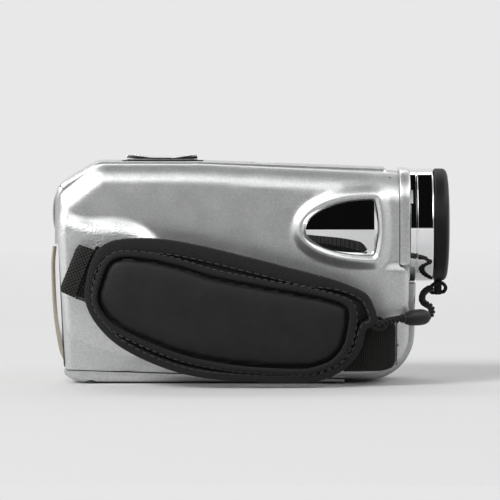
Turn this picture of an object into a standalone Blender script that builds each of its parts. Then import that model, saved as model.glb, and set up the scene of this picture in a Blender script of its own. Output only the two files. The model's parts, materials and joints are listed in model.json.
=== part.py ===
"""Pocket camcorder with a padded hand strap and a tethered lens cap.

Sizes are in millimetres in the camera's own axes: X along the lens towards
the scene, Y across the body (the strap side is -Y) and Z up from the table,
with Y = 0 on the lens axis. One empty shifts the model so that its origin is
at the bottom centre of its box.
"""
import math

import bmesh
import bpy
from mathutils import Matrix, Vector

MM = 0.001

# Overall size
REAR_X = -57.0          # crown of the rear panel
FRONT_X = 57.3          # crown of the lens cap
STRAP_Y = -39.3         # outside of the strap flap
SCREEN_Y = 25.3         # outside of the screen cover
BODY_TOP = 63.3
UNDERSIDE = 0.4         # underside of the bottom cover, above the feet
X_MID = (REAR_X + FRONT_X) / 2
Y_MID = (STRAP_Y + SCREEN_Y) / 2

# Casing
GAP = 0.3
WALL = 2.0
STEP_Z = 33.5           # below this the shells reach forward beside the lens
RIGHT_FACE = -19.8
LEFT_FACE = 17.5
BAND_RIGHT = -11.0      # the raised middle band runs between these two
BAND_LEFT = 9.0
BAND_MID = (BAND_RIGHT + BAND_LEFT) / 2
BAND_WALL = 2.4
BAND_RISE = 1.2         # the band stands this proud of the side shells
SPLIT_REAR = (-56.0, 4.2)     # the line where the bottom cover meets the shells
SPLIT_FRONT = (27.0, 1.5)

# Lens
AXIS_Z = 44.8
BEZEL_BACK = 42.7
BEZEL_FACE = 45.6
HOOD_RADIUS = 16.3
HOOD_BORE = 12.6
HOOD_FRONT = 52.6
CAP_BACK = 52.9

# Chrome leaf on the strap side
LEAF_CENTRE = (34.6, 44.2)    # centre of its two quarter ellipses
LEAF_REACH = 19.0
LEAF_RISE, LEAF_DROP = 8.6, 7.6
LEAF_END = 0.9
LEAF_END_BOW = 1.0

# Screen
SCREEN_BACK = 18.1
SCREEN_HINGE = (34.0, 21.7)   # x, y of the upright hinge axis
SCREEN_LOW, SCREEN_HIGH = 9.0, 57.0
SCREEN_REAR = -38.0

# Buttons and small moving pieces
ROCKER_PIVOT = (-25.2, 61.9)
SNAP_X = 4.0
RECORD_Z = 48.3
RECORD_RADIUS = 5.7
BUTTON_X = -30.0
BUTTON_HEIGHTS = (24.0, 33.0, 42.0)
BUTTON_NAMES = ("power_button", "menu_button", "play_button")
USB_AXIS = (-43.0, 18.55)
DOOR_AXIS = (-14.4, 1.8)
DOOR_FRONT = 25.0
DOOR_RIGHT, DOOR_LEFT = -8.0, 8.6
TRIPOD_X = -30.0
LAMP_Y, LAMP_Z = -5.5, 21.0
MICROPHONE_Y = 4.5
FOOT_SPOTS = ((-45.4, -15.5), (-45.4, 13.2), (23.0, -15.5), (23.0, 13.2))
SCREW_SPOTS = ((-4.0, -14.6), (-4.0, 14.0))

# Strap
WEB_THICK = 1.3
WEB_WIDE = 14.2
FRONT_WEB = (6.1, 17.8)       # lower and upper edge of the front webbing
STRAP_TILT = math.radians(22)
PAD_MIDDLE_X, PAD_MIDDLE_Z = -6.6, 22.0
PAD_ENDS_Y = -31.6      # middle of the pad's thickness at its two ends
PAD_BOW = 3.4           # how far the pad's middle stands further out
PAD_LENGTH = 80.0
PAD_THICK = 4.2
CORD_RADIUS = 0.85


def pick_collection(name):
    collection = bpy.data.collections.new(name)
    bpy.context.scene.collection.children.link(collection)
    return collection


for old in list(bpy.data.objects):
    bpy.data.objects.remove(old, do_unlink=True)

PARTS = pick_collection("camcorder")
CUTTERS = pick_collection("cutters")
ORIGIN = bpy.data.objects.new("camcorder_origin", None)
ORIGIN.location = (-X_MID * MM, -Y_MID * MM, 0)
PARTS.objects.link(ORIGIN)


# ---------------------------------------------------------------- materials

def material(name, colour, roughness, metallic=0.0):
    made = bpy.data.materials.new(name)
    made.use_nodes = True
    shader = made.node_tree.nodes["Principled BSDF"]
    shader.inputs["Base Color"].default_value = (*colour, 1)
    shader.inputs["Roughness"].default_value = roughness
    shader.inputs["Metallic"].default_value = metallic
    made.diffuse_color = (*colour, 1)
    return made


SILVER = material("silver_paint", (0.48, 0.49, 0.50), 0.42, 0.6)
CHAMPAGNE = material("champagne_gloss", (0.40, 0.36, 0.30), 0.15, 0.4)
CHROME = material("chrome", (0.80, 0.80, 0.82), 0.06, 1.0)
BLACK = material("black_plastic", (0.015, 0.015, 0.016), 0.45)
GLOSS_BLACK = material("gloss_black", (0.01, 0.01, 0.012), 0.12)
GLASS = material("coated_glass", (0.03, 0.03, 0.05), 0.03)
STEEL = material("steel", (0.55, 0.55, 0.55), 0.3, 1.0)
BRASS = material("brass", (0.60, 0.45, 0.18), 0.35, 1.0)
BOARD = material("circuit_board", (0.02, 0.16, 0.06), 0.5)
CELL = material("battery_sleeve", (0.05, 0.06, 0.08), 0.4)
RUBBER = material("rubber", (0.02, 0.02, 0.02), 0.7)
WEBBING = material("webbing", (0.012, 0.011, 0.010), 0.9)
LEATHER = material("leather", (0.020, 0.020, 0.022), 0.55)
CORD = material("cord", (0.010, 0.010, 0.011), 0.85)


# ---------------------------------------------------------------- outlines

def arc_corner(before, here, after, radius, steps):
    """The points of an arc of this radius that rounds one corner."""
    to_before = (before - here).normalized()
    to_after = (after - here).normalized()
    half = to_before.angle(to_after) / 2
    if radius <= 0 or half > math.radians(89):
        return [here]
    centre = here + (to_before + to_after).normalized() * radius / math.sin(half)
    first = here + to_before * radius / math.tan(half) - centre
    last = here + to_after * radius / math.tan(half) - centre
    sweep = math.pi - 2 * half
    turn = math.copysign(1, first.x * last.y - first.y * last.x)
    start = math.atan2(first.y, first.x)
    arc = []
    for step in range(steps + 1):
        angle = start + turn * sweep * step / steps
        arc.append(centre + radius * Vector((math.cos(angle), math.sin(angle))))
    return arc


def rounded(corners, steps=4):
    """A closed outline through corners given as (u, v, radius)."""
    spots = [Vector(corner[:2]) for corner in corners]
    outline = []
    for index, corner in enumerate(corners):
        after = spots[(index + 1) % len(spots)]
        outline += arc_corner(spots[index - 1], spots[index], after, corner[2], steps)
    return outline


def rounded_route(corners, steps=4):
    """An open line through corners given as (u, v, radius)."""
    spots = [Vector(corner[:2]) for corner in corners]
    line = [spots[0]]
    for index in range(1, len(corners) - 1):
        radius = corners[index][2]
        line += arc_corner(spots[index - 1], spots[index], spots[index + 1], radius, steps)
    return line + [spots[-1]]


def circle(u, v, radius, steps):
    angles = [math.tau * step / steps for step in range(steps)]
    return [Vector((u + radius * math.cos(a), v + radius * math.sin(a))) for a in angles]


def spline_point(a, b, c, d, t):
    """A point of the Catmull-Rom curve between b and c."""
    return 0.5 * (2 * b + (c - a) * t + (2 * a - 5 * b + 4 * c - d) * t ** 2
                  + (3 * b - a - 3 * c + d) * t ** 3)


def smooth_loop(spots, steps=4):
    """A smooth closed outline through the given spots."""
    points = [Vector(spot) for spot in spots]
    count = len(points)
    loop = []
    for i in range(count):
        nearby = [points[(i + k) % count] for k in (-1, 0, 1, 2)]
        loop += [spline_point(*nearby, step / steps) for step in range(steps)]
    return loop


def smooth_line(spots, steps=5):
    """A smooth open line through the given spots."""
    points = [Vector(spot) for spot in spots]
    padded = [2 * points[0] - points[1]] + points + [2 * points[-1] - points[-2]]
    line = []
    for i in range(len(points) - 1):
        line += [spline_point(*padded[i:i + 4], step / steps) for step in range(steps)]
    return line + [points[-1]]


def ribbon(route, left, right=0.0):
    """The outline of a strip that lies from left to right of a route."""
    sides = []
    for i, spot in enumerate(route):
        along = route[min(i + 1, len(route) - 1)] - route[max(i - 1, 0)]
        sides.append(Vector((-along.y, along.x)).normalized())
    near = [spot + side * left for spot, side in zip(route, sides)]
    far = [spot + side * right for spot, side in zip(route, sides)]
    return near + far[::-1]


def inset(corners, distance):
    """The corners of a closed outline moved inwards, radii kept sensible."""
    spots = [Vector(corner[:2]) for corner in corners]
    area = 0.0
    for i, spot in enumerate(spots):
        area += spots[i - 1].x * spot.y - spots[i - 1].y * spot.x
    inward = math.copysign(1, area)
    moved = []
    for i, spot in enumerate(spots):
        arrive = (spot - spots[i - 1]).normalized()
        leave = (spots[(i + 1) % len(spots)] - spot).normalized()
        side_a = Vector((-arrive.y, arrive.x)) * inward
        side_b = Vector((-leave.y, leave.x)) * inward
        reach = distance / max(0.2, (1 + side_a.dot(side_b)) / 2) ** 0.5
        shifted = spot + (side_a + side_b).normalized() * reach
        moved.append((shifted.x, shifted.y, max(0.0, corners[i][2] - distance)))
    return moved


# ------------------------------------------------------------------- solids

TURN = {
    "XY": Matrix.Identity(3),
    "XZ": Matrix(((1, 0, 0), (0, 0, -1), (0, 1, 0))),
    "YZ": Matrix(((0, 0, 1), (1, 0, 0), (0, 1, 0))),
}
TOWARDS = {
    "+X": (0, math.pi / 2, 0),
    "-X": (0, -math.pi / 2, 0),
    "+Y": (-math.pi / 2, 0, 0),
    "-Y": (math.pi / 2, 0, 0),
    "+Z": (0, 0, 0),
    "-Z": (math.pi, 0, 0),
}


def add(name, mesh, look, place=(0, 0, 0), rotation=(0, 0, 0)):
    """Link a mesh as a named piece, or as a hidden cutter when look is None."""
    made = bpy.data.objects.new(name, mesh)
    made.location = Vector(place) * MM
    made.rotation_euler = rotation
    made.parent = ORIGIN
    if look is None:
        made.hide_render = True
        made.display_type = "WIRE"
        CUTTERS.objects.link(made)
        return made
    mesh.materials.clear()
    mesh.materials.append(look)
    mesh.shade_smooth()
    mesh.set_sharp_from_angle(angle=math.radians(35))
    PARTS.objects.link(made)
    return made


def curve_to_mesh(curve):
    """The mesh of a curve, with its caps welded on."""
    holder = bpy.data.objects.new(curve.name, curve)
    bpy.context.scene.collection.objects.link(holder)
    graph = bpy.context.evaluated_depsgraph_get()
    mesh = bpy.data.meshes.new_from_object(holder.evaluated_get(graph))
    bpy.data.objects.remove(holder)
    bpy.data.curves.remove(curve)
    form = bmesh.new()
    form.from_mesh(mesh)
    bmesh.ops.remove_doubles(form, verts=form.verts, dist=0.00001)
    bmesh.ops.recalc_face_normals(form, faces=form.faces)
    form.to_mesh(mesh)
    form.free()
    return mesh


def round_one_side(mesh, side, width, segments):
    """Round the edges of a flat plate's lower (-1) or upper (+1) face."""
    form = bmesh.new()
    form.from_mesh(mesh)
    cap = [face for face in form.faces if side * face.normal.z > 0.999]
    bmesh.ops.dissolve_faces(form, faces=cap)
    level = max(side * vert.co.z for vert in form.verts)
    rim = []
    for edge in form.edges:
        on_level = all(side * vert.co.z > level - 0.00001 for vert in edge.verts)
        if on_level and edge.calc_face_angle(0) > 0.6:
            rim.append(edge)
    bmesh.ops.bevel(form, geom=rim, offset=width * MM, segments=segments,
                    profile=0.5, affect="EDGES", clamp_overlap=True)
    form.to_mesh(mesh)
    form.free()


def plate(name, outline, low, high, look, plane="XZ", rounds=(), segments=2, hole=None):
    """A flat outline with a thickness, between low and high across its plane.

    rounds holds (side, width) for the faces whose edges are rounded, where
    side +1 is the face that looks along the plane's own normal. hole is the
    outline of an opening right through.
    """
    curve = bpy.data.curves.new(name, "CURVE")
    curve.dimensions = "2D"
    curve.fill_mode = "BOTH"
    curve.extrude = (high - low) / 2 * MM
    for loop in [outline] + ([hole] if hole else []):
        spline = curve.splines.new("POLY")
        spline.points.add(len(loop) - 1)
        for point, spot in zip(spline.points, loop):
            point.co = (spot.x * MM, spot.y * MM, 0, 1)
        spline.use_cyclic_u = True
    mesh = curve_to_mesh(curve)
    for side, width in rounds:
        round_one_side(mesh, side, width, segments)
    normal = TURN[plane] @ Vector((0, 0, 1))
    middle = (low + high) / 2 * (normal.x + normal.y + normal.z)
    return add(name, mesh, look, normal * middle, TURN[plane].to_euler())


def block(name, low, high, look, rounding=0.0, segments=2):
    """A box between two corners, with its edges rounded if asked."""
    low, high = Vector(low), Vector(high)
    form = bmesh.new()
    bmesh.ops.create_cube(form, size=1)
    bmesh.ops.scale(form, vec=(high - low) * MM, verts=form.verts)
    mesh = bpy.data.meshes.new(name)
    form.to_mesh(mesh)
    form.free()
    made = add(name, mesh, look, (low + high) / 2)
    if rounding > 0:
        bevel = made.modifiers.new("rounding", "BEVEL")
        bevel.width = rounding * MM
        bevel.segments = segments
    return made


def rod(name, radius, low, high, place, look, towards="+Z", sides=16):
    """A cylinder from low to high along a direction through place."""
    form = bmesh.new()
    bmesh.ops.create_cone(form, cap_ends=True, segments=sides, radius1=radius * MM,
                          radius2=radius * MM, depth=(high - low) * MM)
    bmesh.ops.translate(form, vec=(0, 0, (low + high) / 2 * MM), verts=form.verts)
    mesh = bpy.data.meshes.new(name)
    form.to_mesh(mesh)
    form.free()
    return add(name, mesh, look, place, TOWARDS[towards])


def turned(name, profile, place, look, towards="+X", closed=False, steps=40):
    """A turned piece: profile holds (radius, height), top to bottom outside."""
    mesh = bpy.data.meshes.new(name)
    verts = [(radius * MM, 0, height * MM) for radius, height in profile]
    edges = [(i, i + 1) for i in range(len(verts) - 1)]
    if closed:
        edges.append((len(verts) - 1, 0))
    mesh.from_pydata(verts, edges, [])
    made = add(name, mesh, look, place, TOWARDS[towards])
    screw = made.modifiers.new("turn", "SCREW")
    screw.steps = steps
    screw.render_steps = steps
    screw.use_merge_vertices = True
    screw.merge_threshold = 0.00001
    screw.use_smooth_shade = True
    return made


def tube(name, route, radius, look, resolution=2):
    """A cord along a smooth route."""
    curve = bpy.data.curves.new(name, "CURVE")
    curve.dimensions = "3D"
    curve.bevel_depth = radius * MM
    curve.bevel_resolution = resolution
    curve.use_fill_caps = True
    spline = curve.splines.new("POLY")
    spline.points.add(len(route) - 1)
    for point, spot in zip(spline.points, route):
        point.co = (*(spot * MM), 1)
    return add(name, curve_to_mesh(curve), look)


def boolean(piece, other, operation="DIFFERENCE"):
    change = piece.modifiers.new(other.name, "BOOLEAN")
    change.operation = operation
    change.object = other
    change.solver = "EXACT"
    return piece


def join(piece, *others):
    for other in others:
        boolean(piece, other, "UNION")
    return piece


def cut(piece, *others):
    for other in others:
        boolean(piece, other)
    return piece


def dome(radius, height, rise, steps=4):
    """Profile points of a shallow domed top from its middle to its rim."""
    points = []
    for step in range(steps + 1):
        share = step / steps
        points.append((radius * share, height - rise * share ** 2))
    return points


# -------------------------------------------------------------------- casing

def split_height(x):
    """Height of the line between the bottom cover and the shells."""
    share = (x - SPLIT_REAR[0]) / (SPLIT_FRONT[0] - SPLIT_REAR[0])
    return SPLIT_REAR[1] + share * (SPLIT_FRONT[1] - SPLIT_REAR[1])


def shell_corners():
    """Side outline of the two shells, stepped back behind the lens bezel."""
    return [
        (-53.2, split_height(-53.2), 1.3),
        (-54.8, 42.0, 0.0),
        (-54.1, 54.4, 3.0),
        (-43.7, BODY_TOP - BAND_RISE, 6.0),
        (-14.0, BODY_TOP - BAND_RISE, 0.0),
        (BEZEL_BACK - GAP, BODY_TOP - 3.2, 1.3),
        (BEZEL_BACK - GAP, STEP_Z, 0.0),
        (45.3, STEP_Z, 2.8),
        (45.3, SPLIT_FRONT[1], 12.5),
        (SPLIT_FRONT[0] + GAP, SPLIT_FRONT[1], 0.0),
    ]


def casing():
    corners = shell_corners()
    outline = rounded(corners)
    cavity = rounded(inset(corners, WALL))
    right = plate("right_shell", outline, RIGHT_FACE, BAND_RIGHT - GAP, SILVER)
    left = plate("left_shell", outline, BAND_LEFT + GAP, LEFT_FACE, SILVER)
    cut(right, plate("right_cavity", cavity, RIGHT_FACE + WALL, BAND_RIGHT + 4, None))
    cut(left, plate("left_cavity", cavity, BAND_LEFT - 4, LEFT_FACE - WALL, None))
    cut(right, *strap_slots(), leaf_recess())
    cut(left, block("usb_hole", (-49.2, 14.0, 25.3), (-44.4, 19.0, 34.7), None))
    for index, height in enumerate(BUTTON_HEIGHTS):
        cut(left, rod("key_hole_%d" % index, 2.4, -4, 4,
                      (BUTTON_X, LEFT_FACE, height), None, "+Y"))
    bottom_cover()


def strap_slots():
    rear = block("rear_slot", (-1.7, -3.4, -8.0), (1.7, 3.4, 8.0), None)
    rear.location = Vector((-45.2, RIGHT_FACE + 1.0, 31.4)) * MM
    rear.rotation_euler = (0, STRAP_TILT, 0)
    front = block("front_slot", (39.4, RIGHT_FACE - 2, FRONT_WEB[0] - GAP),
                  (41.9, RIGHT_FACE + 4, FRONT_WEB[1] + GAP), None)
    return rear, front


def leaf_outline(grow=0.0, steps=10):
    """The chrome insert: two quarter ellipses that share a tip, and a bowed end."""
    x, z = LEAF_CENTRE
    outline = []
    for step in range(2 * steps + 1):
        angle = math.pi * (0.5 + step / (2 * steps))
        height = LEAF_RISE if step <= steps else LEAF_DROP
        outline.append(Vector((x + (LEAF_REACH + grow) * math.cos(angle),
                               z + (height + grow) * math.sin(angle))))
    middle = z + (LEAF_RISE - LEAF_DROP) / 2
    half = (LEAF_RISE + LEAF_DROP) / 2 + grow
    for step in range(7):
        share = step / 3 - 1
        bow = LEAF_END_BOW * (1 - share * share)
        outline.append(Vector((x + LEAF_END + grow + bow, middle + half * share)))
    return outline


def leaf_recess():
    return plate("leaf_recess", leaf_outline(GAP), RIGHT_FACE - 1, RIGHT_FACE + 1.3, None)


def bottom_cover():
    outline = rounded([
        (-53.3, split_height(-53.3) - GAP, 0.3),
        (-52.6, UNDERSIDE, 5.5),
        (SPLIT_FRONT[0], UNDERSIDE, 0.3),
        (SPLIT_FRONT[0], SPLIT_FRONT[1] - GAP, 0.0),
    ])
    cover = plate("bottom_cover", outline, RIGHT_FACE + 0.2, LEFT_FACE - 0.2, SILVER,
                  rounds=[(1, 0.9), (-1, 0.9)], segments=2)
    cut(cover, block("door_opening", (DOOR_AXIS[0] - 1.7, DOOR_RIGHT - 0.4, -1),
                     (DOOR_FRONT + 0.4, DOOR_LEFT + 0.4, 9), None))
    cut(cover, rod("bush_hole", 5.3, -1, 9, (TRIPOD_X, BAND_MID, 0), None, sides=24))
    cut(cover, rod("pin_hole", 0.7, DOOR_RIGHT - 3, DOOR_LEFT + 3,
                   (DOOR_AXIS[0], 0, DOOR_AXIS[1]), None, "+Y", 12))
    for index, (x, y) in enumerate(FOOT_SPOTS):
        cut(cover, rod("foot_pocket_%d" % index, 2.1, -1, 1.3, (x, y, 0), None))
    for index, (x, y) in enumerate(SCREW_SPOTS):
        cut(cover, rod("screw_pocket_%d" % index, 1.9, -1, 1.5, (x, y, 0), None))


def middle_band():
    """The raised band: top cover, rear frame, rear panel and front plate."""
    top = rounded_route([
        (-54.5, 56.7, 0), (-44.2, BODY_TOP, 6.0),
        (-14.0, BODY_TOP, 200.0), (38.4, BODY_TOP - 1.9, 0),
        (39.8, BODY_TOP - 3.1, 0), (BEZEL_BACK - GAP, BODY_TOP - 3.2, 0)])
    cover = plate("top_cover", ribbon(top, -BAND_WALL), BAND_RIGHT, BAND_LEFT, SILVER)
    cut(cover, block("rocker_bay", (-36.9, BAND_MID - 7.4, 50), (-13.4, BAND_MID + 7.4, 70), None))
    cut(cover, rod("snap_hole", 3.9, 55, 70, (SNAP_X, BAND_MID, 0), None, sides=24))

    frame = plate("rear_frame", rounded([
        (-52.8, 4.6, 0), (-54.9, 39.5, 0), (-56.0, 39.5, 0.3), (-55.4, 55.6, 0),
        (-54.9, 56.4, 0), (-53.5, 54.4, 0), (-53.1, 39.0, 0), (-51.0, 4.6, 0)]),
        BAND_RIGHT, BAND_LEFT, SILVER)
    cut(frame, rod("record_hole", RECORD_RADIUS + 0.35, -60, -50,
                   (0, BAND_MID, RECORD_Z), None, "+X", 32))

    panel_back = [(-53.2, 6.4), (-54.2, 22.0), (-55.2, 39.1)]
    panel_face = [(-56.6, 39.1), (REAR_X, 33.0), (-56.4, 20.0), (-54.9, 10.0), (-53.6, 6.4)]
    outline = [Vector(spot) for spot in panel_back] + smooth_line(panel_face)
    plate("rear_panel", outline, BAND_RIGHT, BAND_LEFT, CHAMPAGNE,
          rounds=[(1, 0.6), (-1, 0.6)], segments=1)

    chin = rounded_route([(47.5, 28.2, 0), (46.9, 0.4, 14.5), (27.4, 0.4, 0)], steps=7)
    front = plate("front_plate", ribbon(chin, 0, -BAND_WALL), BAND_RIGHT, BAND_LEFT, SILVER)
    cut(front, rod("lamp_hole", 2.6, 38, 50, (0, LAMP_Y, LAMP_Z), None, "+X", 20))
    cut(front, rod("microphone_hole", 1.9, 38, 50, (0, MICROPHONE_Y, LAMP_Z), None, "+X", 16))


# ----------------------------------------------------------- lens and optics

def bezel():
    tongue_z = 28.6
    step_z = STEP_Z + GAP
    top = BODY_TOP - 2.2
    outline = rounded([
        (RIGHT_FACE + 0.5, step_z, 1.5), (RIGHT_FACE + 0.5, top, 6.0),
        (LEFT_FACE - 0.5, top, 6.0), (LEFT_FACE - 0.5, step_z, 1.5),
        (BAND_LEFT, step_z, 0), (BAND_LEFT, tongue_z, 1.5),
        (BAND_RIGHT, tongue_z, 1.5), (BAND_RIGHT, step_z, 0)])
    lens_way = circle(0, AXIS_Z, 9.4, 32)
    plate("front_bezel", outline, BEZEL_BACK, BEZEL_FACE, SILVER, "YZ", hole=lens_way)


def lens():
    on_axis = (0, 0, AXIS_Z)
    hood_back = BEZEL_FACE + GAP
    groove = 1.9
    turned("lens_hood", [
        (HOOD_RADIUS - 0.5, HOOD_FRONT), (HOOD_RADIUS, HOOD_FRONT - 0.5),
        (HOOD_RADIUS, hood_back + groove + 0.5), (HOOD_RADIUS - 0.5, hood_back + groove),
        (HOOD_RADIUS, hood_back + groove - 0.5), (HOOD_RADIUS, hood_back),
        (HOOD_BORE - 2.6, hood_back), (HOOD_BORE - 2.6, hood_back + 1.4),
        (HOOD_BORE, hood_back + 1.4), (HOOD_BORE, HOOD_FRONT)],
        on_axis, CHROME, closed=True)
    turned("lens_mask", [
        (HOOD_BORE - GAP, 48.7), (HOOD_BORE - GAP, 47.9), (6.6, 47.9), (6.6, 48.3)],
        on_axis, BLACK, closed=True, steps=32)
    turned("lens_barrel", [
        (9.0, 47.4), (9.0, 27.0), (5.5, 27.0), (5.5, 40.0), (8.0, 42.4), (8.0, 47.4)],
        on_axis, BLACK, closed=True, steps=28)
    turned("front_element", dome(7.6, 47.3, 1.4) + [(7.6, 43.6), (0, 43.6)],
           on_axis, GLASS, steps=24)
    turned("rear_element", dome(5.2, 33.0, 0.8) + [(5.2, 30.0), (0, 29.4)],
           on_axis, GLASS, steps=20)
    sensor = block("image_sensor", (24.8, -8.5, AXIS_Z - 8), (26.2, 8.5, AXIS_Z + 8), BOARD)
    join(sensor, block("sensor_chip", (26.0, -3.4, AXIS_Z - 2.6), (28.2, 3.4, AXIS_Z + 2.6), None))


def lens_cap():
    rim = HOOD_RADIUS - 0.1
    cap = turned("lens_cap", [
        (0, FRONT_X), (8.0, FRONT_X - 0.12), (13.0, FRONT_X - 0.5), (15.2, FRONT_X - 1.1),
        (rim, FRONT_X - 2.2), (rim, CAP_BACK), (HOOD_BORE - 0.4, CAP_BACK),
        (HOOD_BORE - 0.4, CAP_BACK - 2.4), (HOOD_BORE - 1.6, CAP_BACK - 2.4),
        (HOOD_BORE - 1.6, CAP_BACK + 1.6), (0, CAP_BACK + 1.6)],
        (0, 0, AXIS_Z), BLACK)
    tab = block("cap_tab", (53.1, -1.6, AXIS_Z - 20.2), (55.3, 1.6, AXIS_Z - 14.0),
                None, 0.5, 1)
    eye = rod("cap_eye", 0.6, -4, 4, (54.2, 0, AXIS_Z - 18.9), None, "+X", 10)
    join(cap, tab)
    cut(cap, eye)


# ------------------------------------------------------------------ controls


def zoom_rocker():
    """A seesaw rocker: raised finger ends and a waist over its pin."""
    x, z = ROCKER_PIVOT
    half = 10.7
    low = BODY_TOP + GAP
    top = BODY_TOP + 1.7
    waist = low + 0.7
    cap = rounded([(x - half + 0.5, low, 0.2), (x - half, top, 0.3), (x - 8.0, top, 2.0),
                   (x - 2.5, waist, 6.0), (x + 2.5, waist, 6.0), (x + 8.0, top, 2.0),
                   (x + half, top, 0.3), (x + half - 0.5, low, 0.2)])
    plate("rocker_cap", cap, BAND_MID - 6.2, BAND_MID + 6.2, CHROME)
    body = block("rocker_base", (x - 9.9, BAND_MID - 3.6, z + 0.2),
                 (x + 9.9, BAND_MID + 3.6, BODY_TOP), BLACK)
    join(body, block("rocker_stem", (x - 1.9, BAND_MID - 3.3, z - 1.4),
                     (x + 1.9, BAND_MID + 3.3, z + 0.9), None))
    cut(body, rod("rocker_bore", 0.95, -8, 6, (x, 0, z), None, "+Y", 12))
    rod("rocker_pin", 0.65, BAND_MID - 5.8, BAND_MID + 5.8, (x, 0, z), STEEL, "+Y", 12)
    tray = block("rocker_tray", (x - 11.3, BAND_MID - 7.0, z - 4.0),
                 (x + 11.4, BAND_MID + 7.0, z + 1.3), BLACK)
    cut(tray, block("tray_hollow", (x - 10.7, BAND_MID - 3.9, z - 3.4),
                    (x + 10.8, BAND_MID + 3.9, z + 3), None))
    for side in (-1, 1):
        cut(tray, block("tray_top_%d" % (side + 1), (x + side * 8 - 5, BAND_MID - 8, z - 1.0),
                        (x + side * 8 + 5, BAND_MID + 8, z + 3), None))
    cut(tray, rod("tray_bore", 0.95, BAND_MID - 6.2, BAND_MID + 6.2, (x, 0, z),
                  None, "+Y", 12))


def buttons():
    face = BODY_TOP - 0.45
    turned("snapshot_button", dome(3.5, face + 0.1, 0.35) + [
        (3.5, face - 3.0), (4.6, face - 3.0), (4.6, face - 3.8), (0, face - 3.8)],
        (SNAP_X, BAND_MID, 0), CHROME, "+Z", steps=24)
    behind = (0, BAND_MID, RECORD_Z)
    turned("record_button", dome(RECORD_RADIUS, 56.9, 0.9) + [(RECORD_RADIUS, 52.6), (0, 52.6)],
           behind, GLOSS_BLACK, "-X", steps=28)
    for name, height in zip(BUTTON_NAMES, BUTTON_HEIGHTS):
        turned(name, [(0, LEFT_FACE + 0.3), (1.9, LEFT_FACE + 0.2), (2.05, LEFT_FACE),
                      (2.05, 15.1), (2.9, 15.1), (2.9, 14.5), (0, 14.5)],
               (BUTTON_X, 0, height), BLACK, "+Y", steps=16)
    block("key_board", (BUTTON_X - 5, 12.4, 19), (BUTTON_X + 5, 13.6, 47), BOARD)


def usb_port():
    low = (-48.8, 9.6, 25.8)
    socket = block("usb_socket", low, (-44.8, 17.0, 34.2), STEEL)
    cut(socket, block("usb_mouth", (-48.0, 11.5, 26.6), (-45.6, 18.0, 33.4), None))
    flap = plate("usb_cover", rounded([
        (-51.6, 22.6, 1.6), (USB_AXIS[0] + 0.25, 22.6, 0.3), (USB_AXIS[0] + 0.25, 37.4, 0.3),
        (-51.6, 37.4, 1.6)]), LEFT_FACE + GAP, LEFT_FACE + 1.5, RUBBER,
        rounds=[(-1, 0.4)], segments=1)
    join(flap, rod("usb_knuckle", 0.7, 23.1, 36.9, (*USB_AXIS, 0), None, sides=12))


# -------------------------------------------------------------------- screen

def screen():
    hinge_x, hinge_y = SCREEN_HINGE
    low, high = SCREEN_LOW, SCREEN_HIGH
    middle = (low + high) / 2
    knuckle = 13.0
    front = hinge_x - 4.2
    outline = rounded([(SCREEN_REAR, low, 5.0), (front, low, 1.5),
                       (front, high, 1.5), (SCREEN_REAR, high, 5.0)])
    lid = plate("screen_cover", outline, SCREEN_BACK + 1.9, SCREEN_Y, SILVER,
                rounds=[(-1, 1.8)], segments=3)
    neck = block("screen_neck", (front - 1, hinge_y - 1.4, middle - knuckle),
                 (hinge_x, SCREEN_Y - 1.6, middle + knuckle), None)
    barrel = rod("screen_knuckle", 3.1, middle - knuckle, middle + knuckle,
                 (hinge_x, hinge_y, 0), None, sides=20)
    join(lid, neck, barrel)
    cut(lid, block("lid_hollow", (SCREEN_REAR + 1.6, SCREEN_BACK, low + 1.6),
                   (front - 1.6, SCREEN_Y - 1.5, high - 1.6), None))
    cut(lid, rod("screen_bore", 1.5, 10, 56, (hinge_x, hinge_y, 0), None, sides=16))
    bezel_plate = plate("screen_bezel", outline, SCREEN_BACK, SCREEN_BACK + 1.6, GLOSS_BLACK)
    cut(bezel_plate, block("screen_window", (-30.3, SCREEN_BACK - 1, 13.7),
                           (22.3, SCREEN_BACK + 3, 52.3), None))
    block("screen_panel", (-30.0, SCREEN_BACK + 0.4, 14.0), (22.0, SCREEN_BACK + 2.6, 52.0),
          GLASS)
    rod("hinge_pin", 1.1, middle - knuckle - 5.0, middle + knuckle + 5.0,
        (hinge_x, hinge_y, 0), STEEL, sides=16)
    lug_end = knuckle + 5.6
    bracket = plate("hinge_bracket", rounded([
        (hinge_x - 3.2, middle - lug_end, 0.8), (hinge_x + 6.2, middle - lug_end, 2.0),
        (hinge_x + 6.2, middle + lug_end, 2.0), (hinge_x - 3.2, middle + lug_end, 0.8),
        (hinge_x - 3.2, middle + knuckle + GAP, 0), (hinge_x + 4.2, middle + knuckle + GAP, 0),
        (hinge_x + 4.2, middle - knuckle - GAP, 0), (hinge_x - 3.2, middle - knuckle - GAP, 0)]),
        LEFT_FACE + GAP, SCREEN_Y - 0.6, SILVER, rounds=[(-1, 1.0)])
    cut(bracket, rod("bracket_bore", 1.4, middle - knuckle - 5.3, middle + knuckle + 5.3,
                     (hinge_x, hinge_y, 0), None, sides=16))


# ---------------------------------------------------------------- inner parts

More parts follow.
